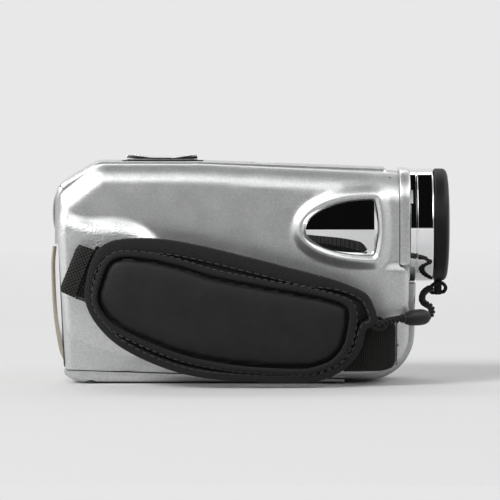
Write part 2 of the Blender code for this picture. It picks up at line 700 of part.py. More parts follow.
def inner_parts():
    block("main_board", (-49.0, -10.6, 9.0), (18.0, -9.4, 57.0), BOARD)
    block("battery", (-13.0, -5.0, 4.2), (21.0, 3.0, 43.0), CELL, 1.0, 1)
    block("battery_contacts", (-2.0, -2.5, 43.3), (9.0, 0.5, 45.5), BRASS)
    socket = block("card_socket", (-11.5, 4.9, 10.0), (15.5, 9.1, 38.0), STEEL)
    cut(socket, block("card_way", (-10.5, 5.6, 9.0), (14.5, 8.4, 36.0), None))
    block("memory_card", (-10.0, 5.95, 3.6), (14.0, 8.05, 35.6), GLOSS_BLACK)
    turned("speaker", [(0, 15.0), (7.0, 15.0), (7.0, 13.8), (4.0, 11.2), (0, 11.2)],
           (10.0, 0, 48.0), BLACK, "+Y", steps=20)
    turned("lamp", dome(2.3, 47.5, 0.6) + [(2.3, 43.0), (0, 43.0)],
           (0, LAMP_Y, LAMP_Z), GLASS, steps=16)
    rod("microphone", 1.6, 43.0, 46.8, (0, MICROPHONE_Y, LAMP_Z), BLACK, "+X", 14)
    plate("leaf_insert", leaf_outline(), RIGHT_FACE - 0.1, RIGHT_FACE + 1.0, CHROME)


def underside():
    turned("tripod_bush", [(0, 7.6), (5.0, 7.6), (5.0, UNDERSIDE), (3.1, UNDERSIDE),
                           (3.1, 6.4), (0, 6.4)],
           (TRIPOD_X, BAND_MID, 0), BRASS, "+Z", steps=24)
    for index, (x, y) in enumerate(FOOT_SPOTS):
        rod("foot_%d" % (index + 1), 1.8, 0, 1.0, (x, y, 0), RUBBER, sides=14)
    for index, (x, y) in enumerate(SCREW_SPOTS):
        turned("base_screw_%d" % (index + 1), [
            (0, 1.2), (1.6, 1.2), (1.6, 0.6), (0.7, 0.6), (0, 0.9)],
            (x, y, 0), STEEL, "+Z", steps=14)


def battery_door():
    x, z = DOOR_AXIS
    low = UNDERSIDE + 0.05
    radius = 1.3
    door = block("battery_door", (x, DOOR_RIGHT, low), (DOOR_FRONT, DOOR_LEFT, low + 1.75), SILVER)
    join(door, rod("door_knuckle", radius, DOOR_RIGHT, DOOR_LEFT, (x, 0, z), None, "+Y", 16))
    cut(door, rod("door_bore", 0.75, DOOR_RIGHT - 1, DOOR_LEFT + 1, (x, 0, z), None, "+Y", 12))
    middle = (DOOR_RIGHT + DOOR_LEFT) / 2
    cut(door, block("latch_bay", (15.4, middle - 4.3, 0), (23.6, middle + 4.3, low + 1.2), None))
    block("door_latch", (18.0, middle - 4.0, low - 0.2), (23.3, middle + 4.0, low + 0.9),
          BLACK, 0.2, 1)
    rod("door_pin", 0.45, DOOR_RIGHT - 2.6, DOOR_LEFT + 2.6, (x, 0, z), STEEL, "+Y", 10)


# --------------------------------------------------------------------- strap

def pad_spots():
    """Outline of the padded grip: rear end first, over the top to the neck."""
    return [(-46.5, 25.5), (-45.4, 33.0), (-40.3, 40.5), (-31.0, 42.1), (-14.1, 40.0),
            (7.0, 34.9), (21.6, 30.9), (31.0, 27.6), (34.7, 22.9), (35.9, 18.9),
            (34.4, 16.6), (32.3, 14.5), (28.6, 7.2), (21.0, 2.2), (8.0, 1.5),
            (-8.0, 2.4), (-25.3, 6.2), (-38.0, 12.5)]


def flap_spots():
    """Outline of the bound leather flap that closes over the grip."""
    return [(-46.2, 26.0), (-44.7, 34.0), (-37.8, 37.7), (-29.3, 37.7), (-11.0, 33.5),
            (12.0, 29.5), (24.0, 25.8), (31.2, 21.8), (32.1, 14.5), (28.4, 7.4),
            (20.8, 2.5), (8.0, 1.8), (-8.0, 2.7), (-25.1, 6.5), (-37.7, 12.8),
            (-43.8, 19.0)]


def pad_surface(x):
    """Y of the middle of the pad's thickness: bowed away from the body."""
    share = (x - PAD_MIDDLE_X) / (PAD_LENGTH / 2)
    return PAD_ENDS_Y - PAD_BOW * (1 - share * share)


def bent_slab(name, spots, near, far, look, columns=20):
    """A slab that follows the pad's bow, from near to far outside its middle."""
    form = bmesh.new()
    bmesh.ops.create_grid(form, x_segments=columns, y_segments=1, size=1)
    for vert in form.verts:
        x = PAD_MIDDLE_X + vert.co.x * 0.56 * PAD_LENGTH
        z = PAD_MIDDLE_Z + vert.co.y * 30.0
        vert.co = Vector((x, pad_surface(x) - near, z)) * MM
    mesh = bpy.data.meshes.new(name)
    form.to_mesh(mesh)
    form.free()
    slab = add(name, mesh, look)
    shell = slab.modifiers.new("thickness", "SOLIDIFY")
    shell.thickness = (far - near) * MM
    shell.offset = 1.0
    outline = smooth_loop(spots)
    boolean(slab, plate(name + "_outline", outline, -50, -20, None), "INTERSECT")
    return slab


def strap():
    half = PAD_THICK / 2
    bent_slab("strap_pad", pad_spots(), -half, half, WEBBING)
    bent_slab("strap_flap", flap_spots(), half + GAP, half + 2.2, LEATHER)

    rear_route = [(1.0, 1.6), (-0.4, -2.0), (-3.4, -5.2), (-5.6, -8.6), (-4.6, -11.6),
                  (-1.8, -12.6)]
    rear = plate("webbing_rear", ribbon(smooth_line(rear_route, 3), WEB_THICK / 2,
                                        -WEB_THICK / 2), 0, WEB_WIDE, WEBBING, "XY")
    rear.location = Vector((-45.6, RIGHT_FACE + 0.4, 31.4)) * MM
    rear.rotation_euler = (0, STRAP_TILT, 0)
    front_route = [(35.2, -28.2), (37.6, -26.8), (39.5, -24.6), (40.5, -21.6),
                   (40.7, RIGHT_FACE + 2.2)]
    plate("webbing_front", ribbon(smooth_line(front_route, 3), WEB_THICK / 2,
                                  -WEB_THICK / 2), *FRONT_WEB, WEBBING, "XY")
    rod("strap_bar_front", 0.8, FRONT_WEB[0] + 4, FRONT_WEB[1] - 0.5, (40.2, -15.8, 0),
        STEEL, sides=10)
    bar = rod("strap_bar_rear", 0.8, -8.0, 8.0, (-44.4, -15.6, 31.4), STEEL, sides=10)
    bar.rotation_euler = (0, STRAP_TILT, 0)


# -------------------------------------------------------------------- tether

def tether():
    """A limp cord from the strap's front end, through a bead, to the cap."""
    rear = [(37.3, -33.2, 18.2), (39.0, -31.4, 18.7), (41.0, -29.2, 19.0),
            (42.8, -27.2, 19.2)]
    front = [(51.05, -18.2, 19.3), (52.3, -16.2, 19.9), (51.9, -13.6, 21.2),
             (50.3, -11.2, 22.2), (48.9, -8.4, 23.2), (49.4, -5.6, 24.8),
             (51.2, -3.6, 25.6), (53.0, -2.6, 25.6)]
    tube("tether_rear", smooth_line(rear, 3), CORD_RADIUS, CORD)
    tube("tether_front", smooth_line(front, 3), CORD_RADIUS, CORD)
    start, end = Vector((43.0, -26.95, 19.2)), Vector((50.7, -18.5, 19.2))
    along = end - start
    length = along.length
    bead = turned("cord_bead", [
        (0, length), (1.5, length), (2.1, length - 0.9), (2.3, length - 3.0),
        (2.2, length * 0.45), (1.5, 0.9), (1.1, 0.0), (0, 0.0)],
        start, BLACK, "+Z", steps=18)
    bead.rotation_euler = along.to_track_quat("Z", "Y").to_euler()


casing()
middle_band()
bezel()
lens()
lens_cap()
zoom_rocker()
buttons()
usb_port()
screen()
inner_parts()
underside()
battery_door()
strap()
tether()
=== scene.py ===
"""Finished looks for a pocket camcorder with a padded hand strap and a tethered lens cap.

Sizes are in millimetres in the camera's own axes: X along the lens, Y across the
body with 0 on the lens axis and the strap side at -Y, Z up from the table. The
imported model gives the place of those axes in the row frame, in metres.
"""
import json
import math

import bmesh
import bpy
import numpy as np
from mathutils import Matrix, Vector
from mathutils.geometry import delaunay_2d_cdt


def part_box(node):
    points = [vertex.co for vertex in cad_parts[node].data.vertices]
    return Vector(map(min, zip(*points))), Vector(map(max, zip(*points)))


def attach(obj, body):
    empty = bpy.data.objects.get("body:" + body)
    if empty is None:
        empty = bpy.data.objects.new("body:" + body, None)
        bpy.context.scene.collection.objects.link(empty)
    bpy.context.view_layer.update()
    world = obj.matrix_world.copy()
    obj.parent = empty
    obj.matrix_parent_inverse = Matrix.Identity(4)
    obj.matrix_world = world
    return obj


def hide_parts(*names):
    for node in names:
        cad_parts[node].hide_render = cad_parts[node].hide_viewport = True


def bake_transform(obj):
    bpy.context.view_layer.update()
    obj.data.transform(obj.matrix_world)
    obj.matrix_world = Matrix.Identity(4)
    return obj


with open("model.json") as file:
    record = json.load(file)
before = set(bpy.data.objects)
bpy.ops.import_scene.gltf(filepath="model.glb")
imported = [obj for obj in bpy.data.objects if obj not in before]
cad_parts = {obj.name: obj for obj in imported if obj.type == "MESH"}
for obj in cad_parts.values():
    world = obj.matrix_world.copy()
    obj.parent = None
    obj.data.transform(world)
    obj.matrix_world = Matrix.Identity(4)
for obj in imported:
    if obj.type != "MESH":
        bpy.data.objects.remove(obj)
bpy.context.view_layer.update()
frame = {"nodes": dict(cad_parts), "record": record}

MM = 0.001
HOOD_BACK = 45.9            # from the camera's own origin to the hood's back edge
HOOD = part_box("lens_hood")
ORIGIN = Vector((HOOD[0].x - HOOD_BACK * MM, (HOOD[0].y + HOOD[1].y) / 2, 0))


def own(node):
    """A CAD node's lowest and highest corner in the camera's own millimetres."""
    low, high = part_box(node)
    return (low - ORIGIN) / MM, (high - ORIGIN) / MM


def middle(node):
    low, high = own(node)
    return (low + high) / 2


SHELL_LOW, SHELL_HIGH = own("right_shell")
LEFT_LOW, LEFT_HIGH = own("left_shell")
BEZEL_LOW, BEZEL_HIGH = own("front_bezel")
BAND_LOW, BAND_HIGH = own("top_cover")
RIGHT_FACE = SHELL_LOW.y
LEFT_FACE = LEFT_HIGH.y
AXIS_Z = middle("lens_hood").z
KEYS = ("power_button", "menu_button", "play_button")
GAP = 0.3                   # between neighbouring pieces of the casing

# Casing
SPLIT_REAR, SPLIT_FRONT = (-56.0, 4.2), (27.0, 1.5)     # the slant joint above the base tray
SHELL_TOP = SHELL_HIGH.z + 0.6      # crest of the shells' rounded upper edge
SHOULDER = 60.1             # height of the shells where they meet the bezel
RIM_WALL, SHELL_DEEP = 2.6, 3.6     # the shells' rims, and their inner wall below the face
WIDEST_Z = 42.0             # height of the sides' widest line
CROWN = 1.3                 # how far the sides fall away 30 mm below it
REAR_DRAFT = 1.3            # how far the strap side falls away 76 mm behind DRAFT_X
DRAFT_X = 24.0
PALM_RISE, STEP_RISE = 1.45, 0.6    # the palm bulge, and the step beside the lens
SPOT_CELL, SPOT_SPACE = 0.45, 0.2   # thinning of a shell's points: cell, and distance squared
BAND_WALL, BAND_ROUND = -2.4, 1.7   # the band's inner face, and the radius of its edges
BASE_INSET = 1.9            # how far in from the CAD's sides the base tray is drawn
BAND_SPLIT = 56.5           # height of the joint between the top cover and the rear frame
EDGE_SPREAD = 1.1           # radius of the upper edge's partial arc, over its width
STEP_Z = 33.5               # below this the shells reach forward beside the lens

# Chrome leaf
LEAF_CENTRE = (34.6, 44.2)
LEAF_REACH, LEAF_RISE, LEAF_DROP = 19.0, 8.6, 7.6
LEAF_END, LEAF_END_BOW = 0.9, 1.0
RIM_CREST, RIM_FOOT, RIM_HEIGHT = 1.2, 4.4, 1.1
LEAF_POCKET = 1.0
LEAF_RIDGE = 2.3            # how far the leaf's ridge stands off the side's flat face
LEAF_TILTS = (math.radians(14), math.radians(-23.5))   # its upper and lower facets
LEAF_TWIST = math.radians(0.35)                        # turn of the lower facet per millimetre
LEAF_TURN = 35.4            # past here the leaf falls back to its end

# Strap
WEB_THICK = 1.3
STRAP_TILT = math.radians(22)
REAR_SLOT = (-45.2, 31.4)
FRONT_SLOT = ((39.4, 5.6), (41.9, 18.1))
PAD_ENDS_Y, PAD_BOW, PAD_HALF, PAD_MID_X = -31.6, 3.4, 40.0, -6.6
PAD_FRONT = 2.1             # outer face of the grip, from the middle of its thickness
FLAP_BACK = 2.4
SIM_SCALE, SIM_STEPS = 6.0, 20      # the pads are simulated this many times full size

# Studio
BACKGROUND = 0.807          # how brightly the paper glows away from the object
VIEW_TARGET = ORIGIN + Vector((0, -19.5, 38.3)) * MM
VIEW_REACH, VIEW_ELEVATION, VIEW_LENS = 1.5, math.radians(2.5), 379
FLOOR_FRONT, FLOOR_BACK, FLOOR_TURN = -0.34, 1.6, 0.9   # metres, and the bend's radius


# ------------------------------------------------------------ flat outlines

def arc_corner(before, here, after, radius, steps):
    """The points of an arc of this radius that rounds one corner."""
    to_before = (before - here).normalized()
    to_after = (after - here).normalized()
    half = to_before.angle(to_after) / 2
    if radius <= 0 or half > math.radians(89):
        return [here]
    centre = here + (to_before + to_after).normalized() * radius / math.sin(half)
    first = here + to_before * radius / math.tan(half) - centre
    last = here + to_after * radius / math.tan(half) - centre
    turn = math.copysign(1, first.x * last.y - first.y * last.x)
    start = math.atan2(first.y, first.x)
    arc = []
    for step in range(steps + 1):
        angle = start + turn * (math.pi - 2 * half) * step / steps
        arc.append(centre + radius * Vector((math.cos(angle), math.sin(angle))))
    return arc


def rounded(corners, steps=8, closed=True):
    """A line through corners given as (u, v, radius)."""
    spots = [Vector(corner[:2]) for corner in corners]
    line = [] if closed else [spots[0]]
    inner = range(len(corners)) if closed else range(1, len(corners) - 1)
    for index in inner:
        after = spots[(index + 1) % len(spots)]
        line += arc_corner(spots[index - 1], spots[index], after, corners[index][2], steps)
    return np.array([tuple(spot) for spot in line + ([] if closed else [spots[-1]])])


def spline(spots, steps=8, closed=False):
    """A smooth curve through the given spots, in two or three dimensions."""
    points = np.array(spots, float)
    if closed:
        padded = np.vstack([points[-1], points, points[:2]])
    else:
        padded = np.vstack([2 * points[0] - points[1], points, 2 * points[-1] - points[-2]])
    line = []
    for i in range(len(padded) - 3):
        a, b, c, d = padded[i:i + 4]
        for t in np.arange(steps) / steps:
            line.append(0.5 * (2 * b + (c - a) * t + (2 * a - 5 * b + 4 * c - d) * t ** 2
                               + (3 * b - a - 3 * c + d) * t ** 3))
    return np.array(line if closed else line + [points[-1]])


def resampled(line, spacing, closed=False):
    """The same line with its points evenly spaced."""
    whole = np.vstack([line, line[:1]]) if closed else np.asarray(line, float)
    run = np.concatenate([[0], np.cumsum(np.linalg.norm(np.diff(whole, axis=0), axis=1))])
    count = max(3, round(run[-1] / spacing))
    stops = np.linspace(0, run[-1], count + 1)
    if closed:
        stops = stops[:-1]
    return np.stack([np.interp(stops, run, whole[:, k]) for k in range(whole.shape[1])], axis=1)


def distance(points, line, closed=False):
    """How far each flat point is from a line."""
    starts = line if closed else line[:-1]
    ends = np.roll(line, -1, axis=0) if closed else line[1:]
    best = np.full(len(points), 1e9)
    for a, b in zip(starts, ends):
        along = b - a
        share = np.clip((points - a) @ along / max(along @ along, 1e-12), 0, 1)
        best = np.minimum(best, np.linalg.norm(points - a - share[:, None] * along, axis=1))
    return best


def inside(points, loop):
    """Which flat points are inside a closed loop."""
    result = np.zeros(len(points), bool)
    x, y = points[:, 0], points[:, 1]
    for a, b in zip(loop, np.roll(loop, -1, axis=0)):
        if a[1] == b[1]:
            continue
        crosses = (a[1] > y) != (b[1] > y)
        result ^= crosses & (x < (b[0] - a[0]) * (y - a[1]) / (b[1] - a[1]) + a[0])
    return result


def signed(points, loop):
    """Distance outside a closed loop, negative inside it."""
    return np.where(inside(points, loop), -1, 1) * distance(points, loop, True)


def outward_normals(loop):
    along = np.roll(loop, -1, axis=0) - np.roll(loop, 1, axis=0)
    along /= np.maximum(np.linalg.norm(along, axis=1), 1e-9)[:, None]
    normals = np.stack([along[:, 1], -along[:, 0]], axis=1)
    area = np.sum(loop[:, 0] * np.roll(loop[:, 1], -1) - loop[:, 1] * np.roll(loop[:, 0], -1))
    return normals * math.copysign(1, area)


def quarter(steps):
    """What a quarter round leaves of its radius, along and across, from its side to its crest."""
    turns = [math.pi / 2 * step / steps for step in range(steps + 1)]
    return [(1 - math.cos(turn), 1 - math.sin(turn)) for turn in turns]


def smooth(value):
    value = np.clip(value, 0, 1)
    return value * value * (3 - 2 * value)


# ------------------------------------------------------------------- pieces

def linked(name, data):
    """A new object in the scene."""
    made = bpy.data.objects.new(name, data)
    bpy.context.scene.collection.objects.link(made)
    return made


def finish_mesh(mesh, sharp):
    form = bmesh.new()
    form.from_mesh(mesh)
    bmesh.ops.remove_doubles(form, verts=form.verts, dist=0.000002)
    bmesh.ops.dissolve_degenerate(form, edges=form.edges, dist=0.0000005)
    bmesh.ops.recalc_face_normals(form, faces=form.faces)
    form.to_mesh(mesh)
    form.free()
    mesh.shade_smooth()
    mesh.set_sharp_from_angle(angle=math.radians(sharp))


def raw(name, verts, faces, sharp=35):
    """An object from points in the camera's own millimetres."""
    mesh = bpy.data.meshes.new(name)
    mesh.from_pydata([ORIGIN + Vector(vert) * MM for vert in verts], [], faces)
    finish_mesh(mesh, sharp)
    return linked(name, mesh)


def show(made, look, body, slot, *stands_for):
    """Give a piece its material, its body, and the CAD nodes it stands for."""
    made.data.materials.clear()
    made.data.materials.append(look)
    if body:
        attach(made, body)
    if stands_for:
        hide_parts(*stands_for)
    return made


def bake(made, sharp=35):
    """Apply a piece's modifiers to its mesh."""
    graph = bpy.context.evaluated_depsgraph_get()
    mesh = bpy.data.meshes.new_from_object(made.evaluated_get(graph))
    made.modifiers.clear()
    made.data = mesh
    finish_mesh(mesh, sharp)
    return made


def carve(made, *cutters, operation="DIFFERENCE"):
    for cutter in cutters:
        change = made.modifiers.new(cutter.name, "BOOLEAN")
        change.operation = operation
        change.object = cutter
        change.solver = "EXACT"
    bake(made)
    for cutter in cutters:
        bpy.data.objects.remove(cutter)
    return made


def loft(rings, closed_rings=True, closed_run=False, caps=True):
    """Faces that join a list of rings with the same number of points."""
    count, size = len(rings), len(rings[0])
    verts = [tuple(spot) for ring in rings for spot in ring]
    faces = []
    for i in range(count if closed_run else count - 1):
        here, there = i * size, (i + 1) % count * size
        for j in range(size if closed_rings else size - 1):
            k = (j + 1) % size
            faces.append((here + j, here + k, there + k, there + j))
    if caps and closed_rings and not closed_run:
        faces.append(tuple(range(size))[::-1])
        faces.append(tuple(range((count - 1) * size, count * size)))
    return verts, faces


def lathe(name, profile, centre, towards, steps=96, closed=False, sharp=35):
    """A turned piece: profile holds (radius, height) along a direction."""
    axis = Vector(towards).normalized()
    side = axis.orthogonal().normalized()
    up = axis.cross(side)
    rings = []
    for step in range(steps):
        angle = math.tau * step / steps
        out = side * math.cos(angle) + up * math.sin(angle)
        rings.append([Vector(centre) + out * max(r, 0.0) + axis * h for r, h in profile])
    verts, faces = loft(rings, closed_rings=closed, closed_run=True)
    return raw(name, verts, faces, sharp)


def rod(name, radius, start, end, centre, towards, steps):
    """A plain cylinder between two heights along a direction, to cut with."""
    profile = [(0, start), (radius, start), (radius, end), (0, end)]
    return lathe(name, profile, centre, towards, steps)


SWING = {
    "XZ": lambda u, v, w: (u, w, v),
    "YZ": lambda u, v, w: (w, u, v),
    "XY": lambda u, v, w: (u, v, w),
}


def plate(name, loop, low, high, plane="XZ", radius=0.5, steps=3, dome=0.0, sharp=35):
    """A flat outline with rounded rims, which may be domed on its high face."""
    loop = np.asarray(loop, float)
    normals = outward_normals(loop)
    stations = [(radius * across, low + radius * along) for along, across in quarter(steps)]
    stations += [(radius * along, high - radius * across) for along, across in quarter(steps)]
    rings = []
    for pull, level in stations:
        ring = loop - normals * pull
        rings.append([SWING[plane](u, v, level) for u, v in ring])
    if dome:
        centre = loop.mean(axis=0)
        flat = loop - normals * radius
        for share in (0.75, 0.5, 0.25, 0.06):
            lift = dome * (1 - share ** 2)
            ring = centre + (flat - centre) * share
            rings.append([SWING[plane](u, v, high + lift) for u, v in ring])
    verts, faces = loft(rings)
    return raw(name, verts, faces, sharp)


def brick(name, low, high, radius=0.4, segments=3):
    """A box with rounded edges."""
    low, high = Vector(low), Vector(high)
    form = bmesh.new()
    bmesh.ops.create_cube(form, size=1)
    bmesh.ops.scale(form, vec=(high - low) * MM, verts=form.verts)
    bmesh.ops.translate(form, vec=ORIGIN + (low + high) / 2 * MM, verts=form.verts)
    if radius:
        bmesh.ops.bevel(form, geom=form.edges[:], offset=radius * MM, segments=segments,
                        profile=0.5, affect="EDGES", clamp_overlap=True)
    mesh = bpy.data.meshes.new(name)
    form.to_mesh(mesh)
    form.free()
    finish_mesh(mesh, 35)
    return linked(name, mesh)


def frames_along(points):
    """Tangent, side and up vectors that follow a line in space without twist."""
    points = [Vector(point) for point in points]
    tangents = []
    for i in range(len(points)):
        along = points[min(i + 1, len(points) - 1)] - points[max(i - 1, 0)]
        tangents.append(along.normalized())
    side = tangents[0].orthogonal().normalized()
    frames = []
    for tangent in tangents:
        side = (side - tangent * side.dot(tangent)).normalized()
        frames.append((tangent, side, tangent.cross(side)))
    return points, frames


def tube_faces(points, radius, sides=8):
    """Rings of a round tube along points, with hemispherical ends."""
    points, frames = frames_along(points)
    turns = [math.radians(turn) for turn in (80, 55, 28)]
    rings = [(points[0] - frames[0][0] * radius * math.sin(turn), frames[0],
              radius * math.cos(turn)) for turn in turns]
    rings += [(spot, basis, radius) for spot, basis in zip(points, frames)]
    rings += [(points[-1] + frames[-1][0] * radius * math.sin(turn), frames[-1],
               radius * math.cos(turn)) for turn in turns[::-1]]
    made = []
    for spot, (_, side, up), size in rings:
        made.append([spot + (side * math.cos(math.tau * k / sides)
                             + up * math.sin(math.tau * k / sides)) * size
                     for k in range(sides)])
    return loft(made)


def gather(groups):
    """One list of points and faces from several."""
    verts, faces = [], []
    for some_verts, some_faces in groups:
        start = len(verts)
        verts += [tuple(vert) for vert in some_verts]
        faces += [tuple(start + index for index in face) for face in some_faces]
    return verts, faces


# ---------------------------------------------------------------- materials

def ranged(tree, value, low, high, from_low=0.0, from_high=1.0):
    """A value mapped evenly from one range to another."""
    node = tree.nodes.new("ShaderNodeMapRange")
    for socket, number in (("From Min", from_low), ("From Max", from_high),
                           ("To Min", low), ("To Max", high)):
        node.inputs[socket].default_value = number
    tree.links.new(value, node.inputs["Value"])
    return node.outputs["Result"]


def computed(tree, operation, *values):
    """A sum in a node tree, of numbers and of other nodes' values."""
    node = tree.nodes.new("ShaderNodeMath")
    node.operation = operation
    for socket, value in zip(node.inputs, values):
        if isinstance(value, (int, float)):
            socket.default_value = value
        else:
            tree.links.new(value, socket)
    return node.outputs[0]


class Look:
    """A procedural material, built up one layer at a time."""

    def __init__(self, name, colour, roughness, metallic=0.0, **sockets):
        self.material = bpy.data.materials.new(name)
        self.material.use_nodes = True
        self.tree = self.material.node_tree
        self.nodes, self.links = self.tree.nodes, self.tree.links
        self.shader = self.nodes["Principled BSDF"]
        self.shader.inputs["Base Color"].default_value = (*colour, 1)
        self.shader.inputs["Roughness"].default_value = roughness
        self.shader.inputs["Metallic"].default_value = metallic
        for socket, value in sockets.items():
            self.shader.inputs[socket.replace("_", " ")].default_value = value
        self.place = self.nodes.new("ShaderNodeTexCoord").outputs["Object"]
        self.normal = None

    def placed(self, socket, value):
        """The material's coordinates, stretched (Scale) or turned (Rotation)."""
        node = self.nodes.new("ShaderNodeMapping")
        node.inputs[socket].default_value = value
        self.links.new(self.place, node.inputs["Vector"])
        return node.outputs["Vector"]

    def noise(self, scale, detail=2.0, place=None):
        node = self.nodes.new("ShaderNodeTexNoise")
        node.inputs["Scale"].default_value = scale
        node.inputs["Detail"].default_value = detail
        self.links.new(place or self.place, node.inputs["Vector"])
        return node.outputs["Fac"]

    def cells(self, scale, feature="F1", output="Distance"):
        node = self.nodes.new("ShaderNodeTexVoronoi")
        node.feature = feature
        node.inputs["Scale"].default_value = scale
        self.links.new(self.place, node.inputs["Vector"])
        return node.outputs[output]

    def math(self, operation, *values):
        return computed(self.tree, operation, *values)

    def ranged(self, value, *limits):
        return ranged(self.tree, value, *limits)

    def split(self, kind, vector):
        """The three channels of a colour or the three axes of a vector."""
        node = self.nodes.new("ShaderNodeSeparate" + kind)
        self.links.new(vector, node.inputs[0])
        return node.outputs

    def mottled(self, scale, detail, *stops):
        self.colours(self.noise(scale, detail), *stops)

    def worn(self, scale, detail, low, high):
        """Roughness that wanders between two values."""
        self.rough(self.ranged(self.noise(scale, detail), low, high))

    def colours(self, value, *stops):
        """Colour by value, through stops of (position, colour)."""
        node = self.nodes.new("ShaderNodeValToRGB")
        ramp = node.color_ramp
        while len(ramp.elements) < len(stops):
            ramp.elements.new(0.5)
        for element, (position, colour) in zip(ramp.elements, stops):
            element.position = position
            element.color = (*colour, 1)
        self.links.new(value, node.inputs["Fac"])
        self.links.new(node.outputs["Color"], self.shader.inputs["Base Color"])

    def rough(self, value):
        self.links.new(value, self.shader.inputs["Roughness"])

    def bump(self, height, depth_mm):
        """Add a bump of this many millimetres on top of the ones before."""
        node = self.nodes.new("ShaderNodeBump")
        node.inputs["Distance"].default_value = depth_mm * MM
        self.links.new(height, node.inputs["Height"])
        if self.normal is not None:
            self.links.new(self.normal, node.inputs["Normal"])
        self.normal = node.outputs["Normal"]
        self.links.new(self.normal, self.shader.inputs["Normal"])

    def threads(self, axis, pitch_mm):
        """Waves across one axis, one for each thread."""
        turns = self.math("MULTIPLY", self.split("XYZ", self.place)[axis],
                          math.tau / (pitch_mm * MM))
        return self.math("SINE", turns)


def silver_paint(name="silver_paint", shade=1.0):
    # A shade below 1 makes a darker copy of the paint, which paints shade into its colour.
    look = Look(name, (0.60 * shade, 0.605 * shade, 0.61 * shade), 0.33, 0.85,
                Coat_Weight=0.25, Coat_Roughness=0.12)
    flakes = look.split("Color", look.cells(4200, output="Color"))
    look.colours(flakes["Red"], (0.0, (0.55 * shade, 0.555 * shade, 0.56 * shade)),
                 (0.7, (0.61 * shade, 0.615 * shade, 0.62 * shade)),
                 (1.0, (0.72 * shade, 0.72 * shade, 0.72 * shade)))
    wear = look.math("MULTIPLY", look.noise(160, 4), look.noise(2600, 2))
    look.rough(look.ranged(wear, 0.28, 0.38, 0.05, 0.5))
    look.bump(look.noise(2400, 2), 0.0035)
    look.bump(flakes["Green"], 0.002)
    return look.material


def pebbled_lit_paint():
    """The same paint over the finely moulded grip surface, but lighter: painted light for the
    floor's brightness on the side's lower rear.
    """
    look = Look("silver_paint_pebbled_lit", (0.68, 0.685, 0.69), 0.36, 0.85,
                Coat_Weight=0.2, Coat_Roughness=0.15)
    flakes = look.cells(4200, output="Color")
    look.colours(look.ranged(look.noise(900, 3), 0, 1), (0.2, (0.62, 0.625, 0.63)),
                 (0.8, (0.74, 0.745, 0.75)))
    look.worn(300, 3, 0.28, 0.40)
    look.bump(look.cells(1700), 0.06)
    look.bump(flakes, 0.005)
    return look.material


def finish(name, colour, roughness, metallic=0.0, mottle=None, wear=None, bump=None, **sockets):
    """A plain finish with mottled colour, worn shine and fine relief, each from a noise."""
    look = Look(name, colour, roughness, metallic, **sockets)
    look.mottled(*mottle)
    look.worn(*wear)
    if bump:
        look.bump(look.noise(*bump[:2]), bump[2])
    return look.material


def champagne():
    return finish("champagne_gloss", (0.40, 0.35, 0.28), 0.12, 0.6,
                  mottle=(1800, 3, (0.3, (0.38, 0.33, 0.265)), (0.7, (0.43, 0.38, 0.31))),
                  wear=(220, 4, 0.09, 0.17), bump=(2600, 1, 0.0008),
                  Coat_Weight=1.0, Coat_Roughness=0.03)


def chrome(name="chrome", low=0.006, high=0.04):
    look = Look(name, (0.86, 0.865, 0.875), low, 1.0)
    scratches = look.noise(500, 5, look.placed("Scale", (0.15, 1, 6)))
    wear = look.math("MULTIPLY", scratches, look.noise(90, 3))
    look.rough(look.ranged(wear, low, high, 0.1, 0.5))
    look.mottled(240, 3, (0.35, (0.84, 0.845, 0.855)), (0.65, (0.88, 0.885, 0.89)))
    return look.material


def moulded_black(name="black_plastic", colour=(0.0055, 0.0048, 0.0046), roughness=0.44,
                  grain_mm=0.02):
    return finish(name, colour, roughness,
                  mottle=(700, 3, (0.3, colour), (0.8, tuple(c * 1.5 for c in colour))),
                  wear=(420, 4, roughness - 0.08, roughness + 0.1), bump=(5200, 2, grain_mm),
                  Specular_IOR_Level=0.16)


def gloss_black():
    return finish("gloss_black", (0.008, 0.008, 0.010), 0.10,
                  mottle=(300, 3, (0.3, (0.007, 0.007, 0.009)), (0.8, (0.012, 0.012, 0.014))),
                  wear=(260, 5, 0.06, 0.16), bump=(900, 2, 0.002),
                  Coat_Weight=0.6, Coat_Roughness=0.03)


def rubber():
    return finish("rubber", (0.02, 0.02, 0.021), 0.72,
                  mottle=(500, 4, (0.3, (0.016, 0.016, 0.017)), (0.8, (0.03, 0.03, 0.031))),
                  wear=(600, 3, 0.62, 0.84), bump=(3200, 3, 0.03))


def brushed(name, colour, roughness, stretch):
    look = Look(name, colour, roughness, 1.0)
    lines = look.noise(900, 4, look.placed("Scale", stretch))
    darker = tuple(c * 0.82 for c in colour)
    look.colours(lines, (0.3, darker), (0.7, colour))
    look.rough(look.ranged(lines, roughness - 0.08, roughness + 0.14))
    look.bump(lines, 0.006)
    return look.material


def coated_glass():
    return finish("coated_glass", (0.015, 0.012, 0.03), 0.03,
                  mottle=(60, 2, (0.3, (0.012, 0.010, 0.028)), (0.7, (0.022, 0.016, 0.040))),
                  wear=(900, 4, 0.015, 0.06), Coat_Weight=1.0, Coat_Roughness=0.01, IOR=1.6)


def circuit_board():
    look = Look("circuit_board", (0.02, 0.14, 0.05), 0.4, Coat_Weight=0.3)
    tracks = look.cells(420, feature="DISTANCE_TO_EDGE")
    look.colours(tracks, (0.0, (0.30, 0.24, 0.08)), (0.10, (0.03, 0.20, 0.07)),
                 (0.16, (0.015, 0.10, 0.04)))
    look.worn(900, 3, 0.3, 0.5)
    look.bump(tracks, 0.03)
    return look.material


def battery_sleeve():
    return finish("battery_sleeve", (0.05, 0.06, 0.08), 0.42,
                  mottle=(300, 3, (0.3, (0.04, 0.05, 0.07)), (0.7, (0.07, 0.08, 0.10))),
                  wear=(500, 3, 0.34, 0.52), bump=(120, 2, 0.06))


